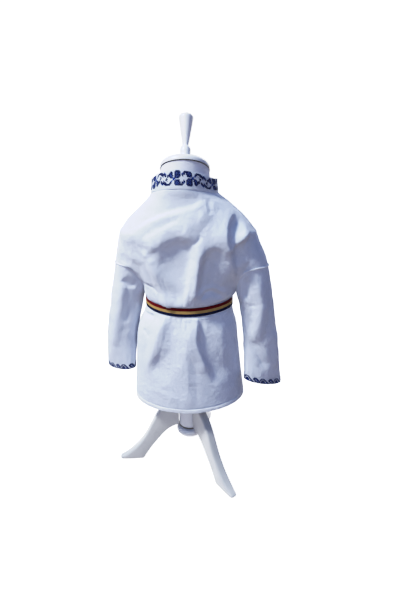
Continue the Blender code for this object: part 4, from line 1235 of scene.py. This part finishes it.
def makePostShadeRing():
    # a dark ring in the step between post and bun: painted shade in that gap
    radius, low, high = post["ringRadius"], post["bunTop"] - post["ringDepth"], post["bottom"] + 0.0008
    profile = [(0.0, low), (radius - 0.0006, low), (radius, low + 0.0006), (radius, high), (0.0, high)]
    return turnedPiece("postShadeRing", profile, gapShadePaint)


legs = {
    "azimuths": {"legRightBack": -45.3, "legLeftBack": -165.3, "legFront": 84.5},
    "thickness": 0.018, "rounding": 0.0048,
    "under": [(0.0241, 0.0850), (0.0340, 0.0820), (0.0450, 0.0765), (0.0575, 0.0655), (0.0722, 0.0483),
              (0.0870, 0.0290), (0.1000, 0.0100), (0.1068, 0.0000), (0.1180, 0.0000), (0.1300, 0.0000),
              (0.1420, 0.0000), (0.1520, 0.0000), (0.1560, 0.0008)],
    "over": [(0.0241, 0.1440), (0.0430, 0.1390), (0.0590, 0.1270), (0.0730, 0.1090), (0.0850, 0.0860),
             (0.0980, 0.0610), (0.1110, 0.0425), (0.1180, 0.0345), (0.1260, 0.0265), (0.1360, 0.0180),
             (0.1460, 0.0110), (0.1540, 0.0068), (0.1570, 0.0045)],
    "toeRun": 0.0450, "toeWidth": 0.52,          # where the toe begins to narrow, and its share at the tip
}


def makeLeg(name, azimuth):
    # sections with rounded corners, lofted from the post to the toe
    under, over = smoothLine(legs["under"], 5), smoothLine(legs["over"], 5)
    under[:, 1] = np.maximum(under[:, 1], 0.0)
    reach = np.clip((over[:, 0] - over[-1, 0] + legs["toeRun"]) / legs["toeRun"], 0.0, 1.0)
    narrow = (1.0 - legs["toeWidth"]) * (1.0 - np.sqrt(1.0 - 0.999 * reach**4))
    rings = []
    for low, high, side in zip(under, over, legs["thickness"] / 2 * (1.0 - narrow)):
        up = high - low
        tall = np.linalg.norm(up)
        up /= tall
        corner = min(legs["rounding"], 0.45 * tall, 0.9 * side)
        ring = []
        for start, way in ((0, 1), (90, -1), (180, -1), (270, 1)):
            radius = corner if start < 180 else corner / 2
            middle = tall - radius if start < 180 else radius
            for angle in np.radians(start + 18 * np.arange(6)):
                rise, out = middle + radius * sin(angle), way * (side - radius) + radius * cos(angle)
                ring.append((low[0] + up[0] * rise, out, low[1] + up[1] * rise))
        rings.append(ring)
    mesh = gridMesh(name, np.array(rings), closed=True)
    closeEnds(mesh)
    leg = addPiece(name, mesh, [legPaint], sharpAngle=50)
    leg.rotation_euler = (0.0, 0.0, radians(azimuth))
    return leg


neckCap = makeCap()
capShadeRing = turnedPiece("capShadeRing", capShadeRingProfile, gapShadePaint, seat)      # a dark ring under the cap's rim: painted shade in the gap between cap and neck
finialKnob = makeFinial()
standPost, postBun, postShadeRing = makePost(), makeBun(), makePostShadeRing()
legPieces = {name: makeLeg(name, azimuth) for name, azimuth in legs["azimuths"].items()}
print("form and stand made")


# ---- studio

floorLook = {"radius": 14.0, "colour": (0.90, 0.90, 0.90), "shade": (0.88, 0.88, 0.885), "glow": (2.1, 2.2)}


def makeFloor():
    radii = np.concatenate(([0.0], np.geomspace(0.2, floorLook["radius"], 24)))
    points = np.stack([circle(64) * radius + (0.0, 0.0, -0.0002) for radius in radii])
    mesh = gridMesh("floor", points, closed=True, weld=0.00001)
    material, tree, shader = newMaterial("paleFloor")
    place = objectPlace(tree)
    cloud = addCloud(tree, place, 0.6)
    colour = blendColour(tree, cloud.outputs["Value"], floorLook["colour"], floorLook["shade"])
    tree.links.new(colour, shader.inputs["Base Color"])
    shader.inputs["Roughness"].default_value = 0.9
    shader.inputs["Emission Color"].default_value = (1.0, 1.0, 1.0, 1.0)
    far = addNode(tree, "VectorMath", place, operation="LENGTH")
    glow = mapRange(tree, far.outputs["Value"], 0.3, 1.3, *floorLook["glow"])
    tree.links.new(glow, shader.inputs["Emission Strength"])
    floor = bpy.data.objects.new("floor", mesh)
    collection.objects.link(floor)
    mesh.materials.append(material)
    floor.visible_diffuse = False                # the floor reads white without lighting the cloth from below
    return floor


studio = {
    "aim": (0.0, 0.0, 0.36),
    "keyLamp": ((-1.38, -1.00, 2.64), 0.4, 126.0, (0.905, 0.975, 1.045)),       # place, size, power, colour
    "sideLamp": ((-0.60, -2.40, 1.00), 1.2, 9.0, (0.72, 0.88, 1.10)),
    "frontLamp": ((0.70, 2.40, 1.50), 1.5, 30.0, (0.95, 0.97, 1.0)),
    "above": (0.12, 0.215, 0.50), "below": (0.32, 0.255, 0.235), "leftShare": 1.1, "rightShare": 0.80,
    "white": 2.0, "shoulder": [(0.25, 0.25), (0.45, 0.45), (0.7, 0.64), (1.0, 0.79), (1.4, 0.86)],
}


def addLamp(name, place, size, power, colour):
    light = bpy.data.lights.new(name, "AREA")
    light.shape = "DISK"
    light.size = size
    light.energy = power
    light.color = colour
    lamp = bpy.data.objects.new(name, light)
    collection.objects.link(lamp)
    lamp.location = place
    lamp.rotation_euler = (Vector(studio["aim"]) - Vector(place)).to_track_quat("-Z", "Y").to_euler()


def makeStudio():
    for name in ("keyLamp", "sideLamp", "frontLamp"):
        addLamp(name, *studio[name])
    world = bpy.data.worlds.new("studioSky")
    world.use_nodes = True
    tree = world.node_tree
    backdrop = tree.nodes["Background"]
    backdrop.inputs["Color"].default_value = (1.0, 1.0, 1.0, 1.0)
    backdrop.inputs["Strength"].default_value = studio["white"] + 0.1
    way = addNode(tree, "SeparateXYZ", addNode(tree, "TexCoord").outputs["Generated"])
    upward = mapRange(tree, way.outputs[2], -0.35, 0.45, 0.0, 1.0)
    colour = blendColour(tree, upward, studio["below"], studio["above"])         # cool above, warmer below
    strength = mapRange(tree, way.outputs[0], -0.8, 0.8, studio["leftShare"], studio["rightShare"])
    sky = addNode(tree, "Background", Color=colour, Strength=strength)
    seen = addNode(tree, "LightPath").outputs["Is Camera Ray"]
    mix = addNode(tree, "MixShader", seen, sky.outputs[0], backdrop.outputs[0])
    tree.links.new(mix.outputs[0], tree.nodes["World Output"].inputs["Surface"])
    bpy.context.scene.world = world


view = {"yaw": 11.0, "pitch": 19.0, "roll": -0.9, "lens": 23.96, "place": (0.1685, -0.7272, 0.622)}


def makeCamera():
    yaw, pitch, roll = (radians(view[turn]) for turn in ("yaw", "pitch", "roll"))
    lens = bpy.data.cameras.new("camera")
    lens.lens = view["lens"]
    lens.clip_start = 0.02
    camera = bpy.data.objects.new("camera", lens)
    collection.objects.link(camera)
    camera.location = axisPlace + Vector(view["place"])
    look = Vector((-sin(yaw) * cos(pitch), cos(yaw) * cos(pitch), -sin(pitch)))
    turned = look.to_track_quat("-Z", "Y").to_matrix().to_4x4() @ Matrix.Rotation(roll, 4, "Z")
    camera.rotation_euler = turned.to_euler()
    bpy.context.scene.camera = camera


def setView():
    # bright cloth is held back a little so that its folds still show; the backdrop stays white
    settings = bpy.context.scene.view_settings
    settings.view_transform = "Standard"
    settings.use_curve_mapping = True
    mapping = settings.curve_mapping
    mapping.white_level = (studio["white"],) * 3
    curve = mapping.curves[3]
    for light, shown in studio["shoulder"]:
        curve.points.new(light / studio["white"], shown)
    mapping.update()


floor = makeFloor()
makeStudio()
makeCamera()
setView()
print("studio made")


# ---- what each piece stands for

stands = {
    "cotton": {"back_panel": backCloth, "front_panel": frontCloth, "sleeve_right": sleeveRight,
               "sleeve_left": sleeveLeft},
    "embroidered_band": {"cuff_right": cuffRight, "cuff_left": cuffLeft, "collar": collarBand},
    "ribbon": {"belt": beltRibbon},
    "form_cover": {"form_body": formCover},
    "painted_wood": {"neck_cap": neckCap, "finial": finialKnob, "post": standPost, "post_end": postBun,
                     "leg_right_back": legPieces["legRightBack"], "leg_left_back": legPieces["legLeftBack"],
                     "leg_front": legPieces["legFront"]},
}
extras = {
    "embroidered_band": [collarStitch, cuffStitchRight, cuffStitchLeft],
    "painted_wood": [capShadeRing, postShadeRing],
    "cotton": [weltRight, weltLeft, backHemStitch, frontHemStitch],
}
for slot, nodes in stands.items():
    for node, piece in nodes.items():
        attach(piece, "root")
        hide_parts(node)
for slot, pieces in extras.items():
    for piece in pieces:
        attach(piece, "root")
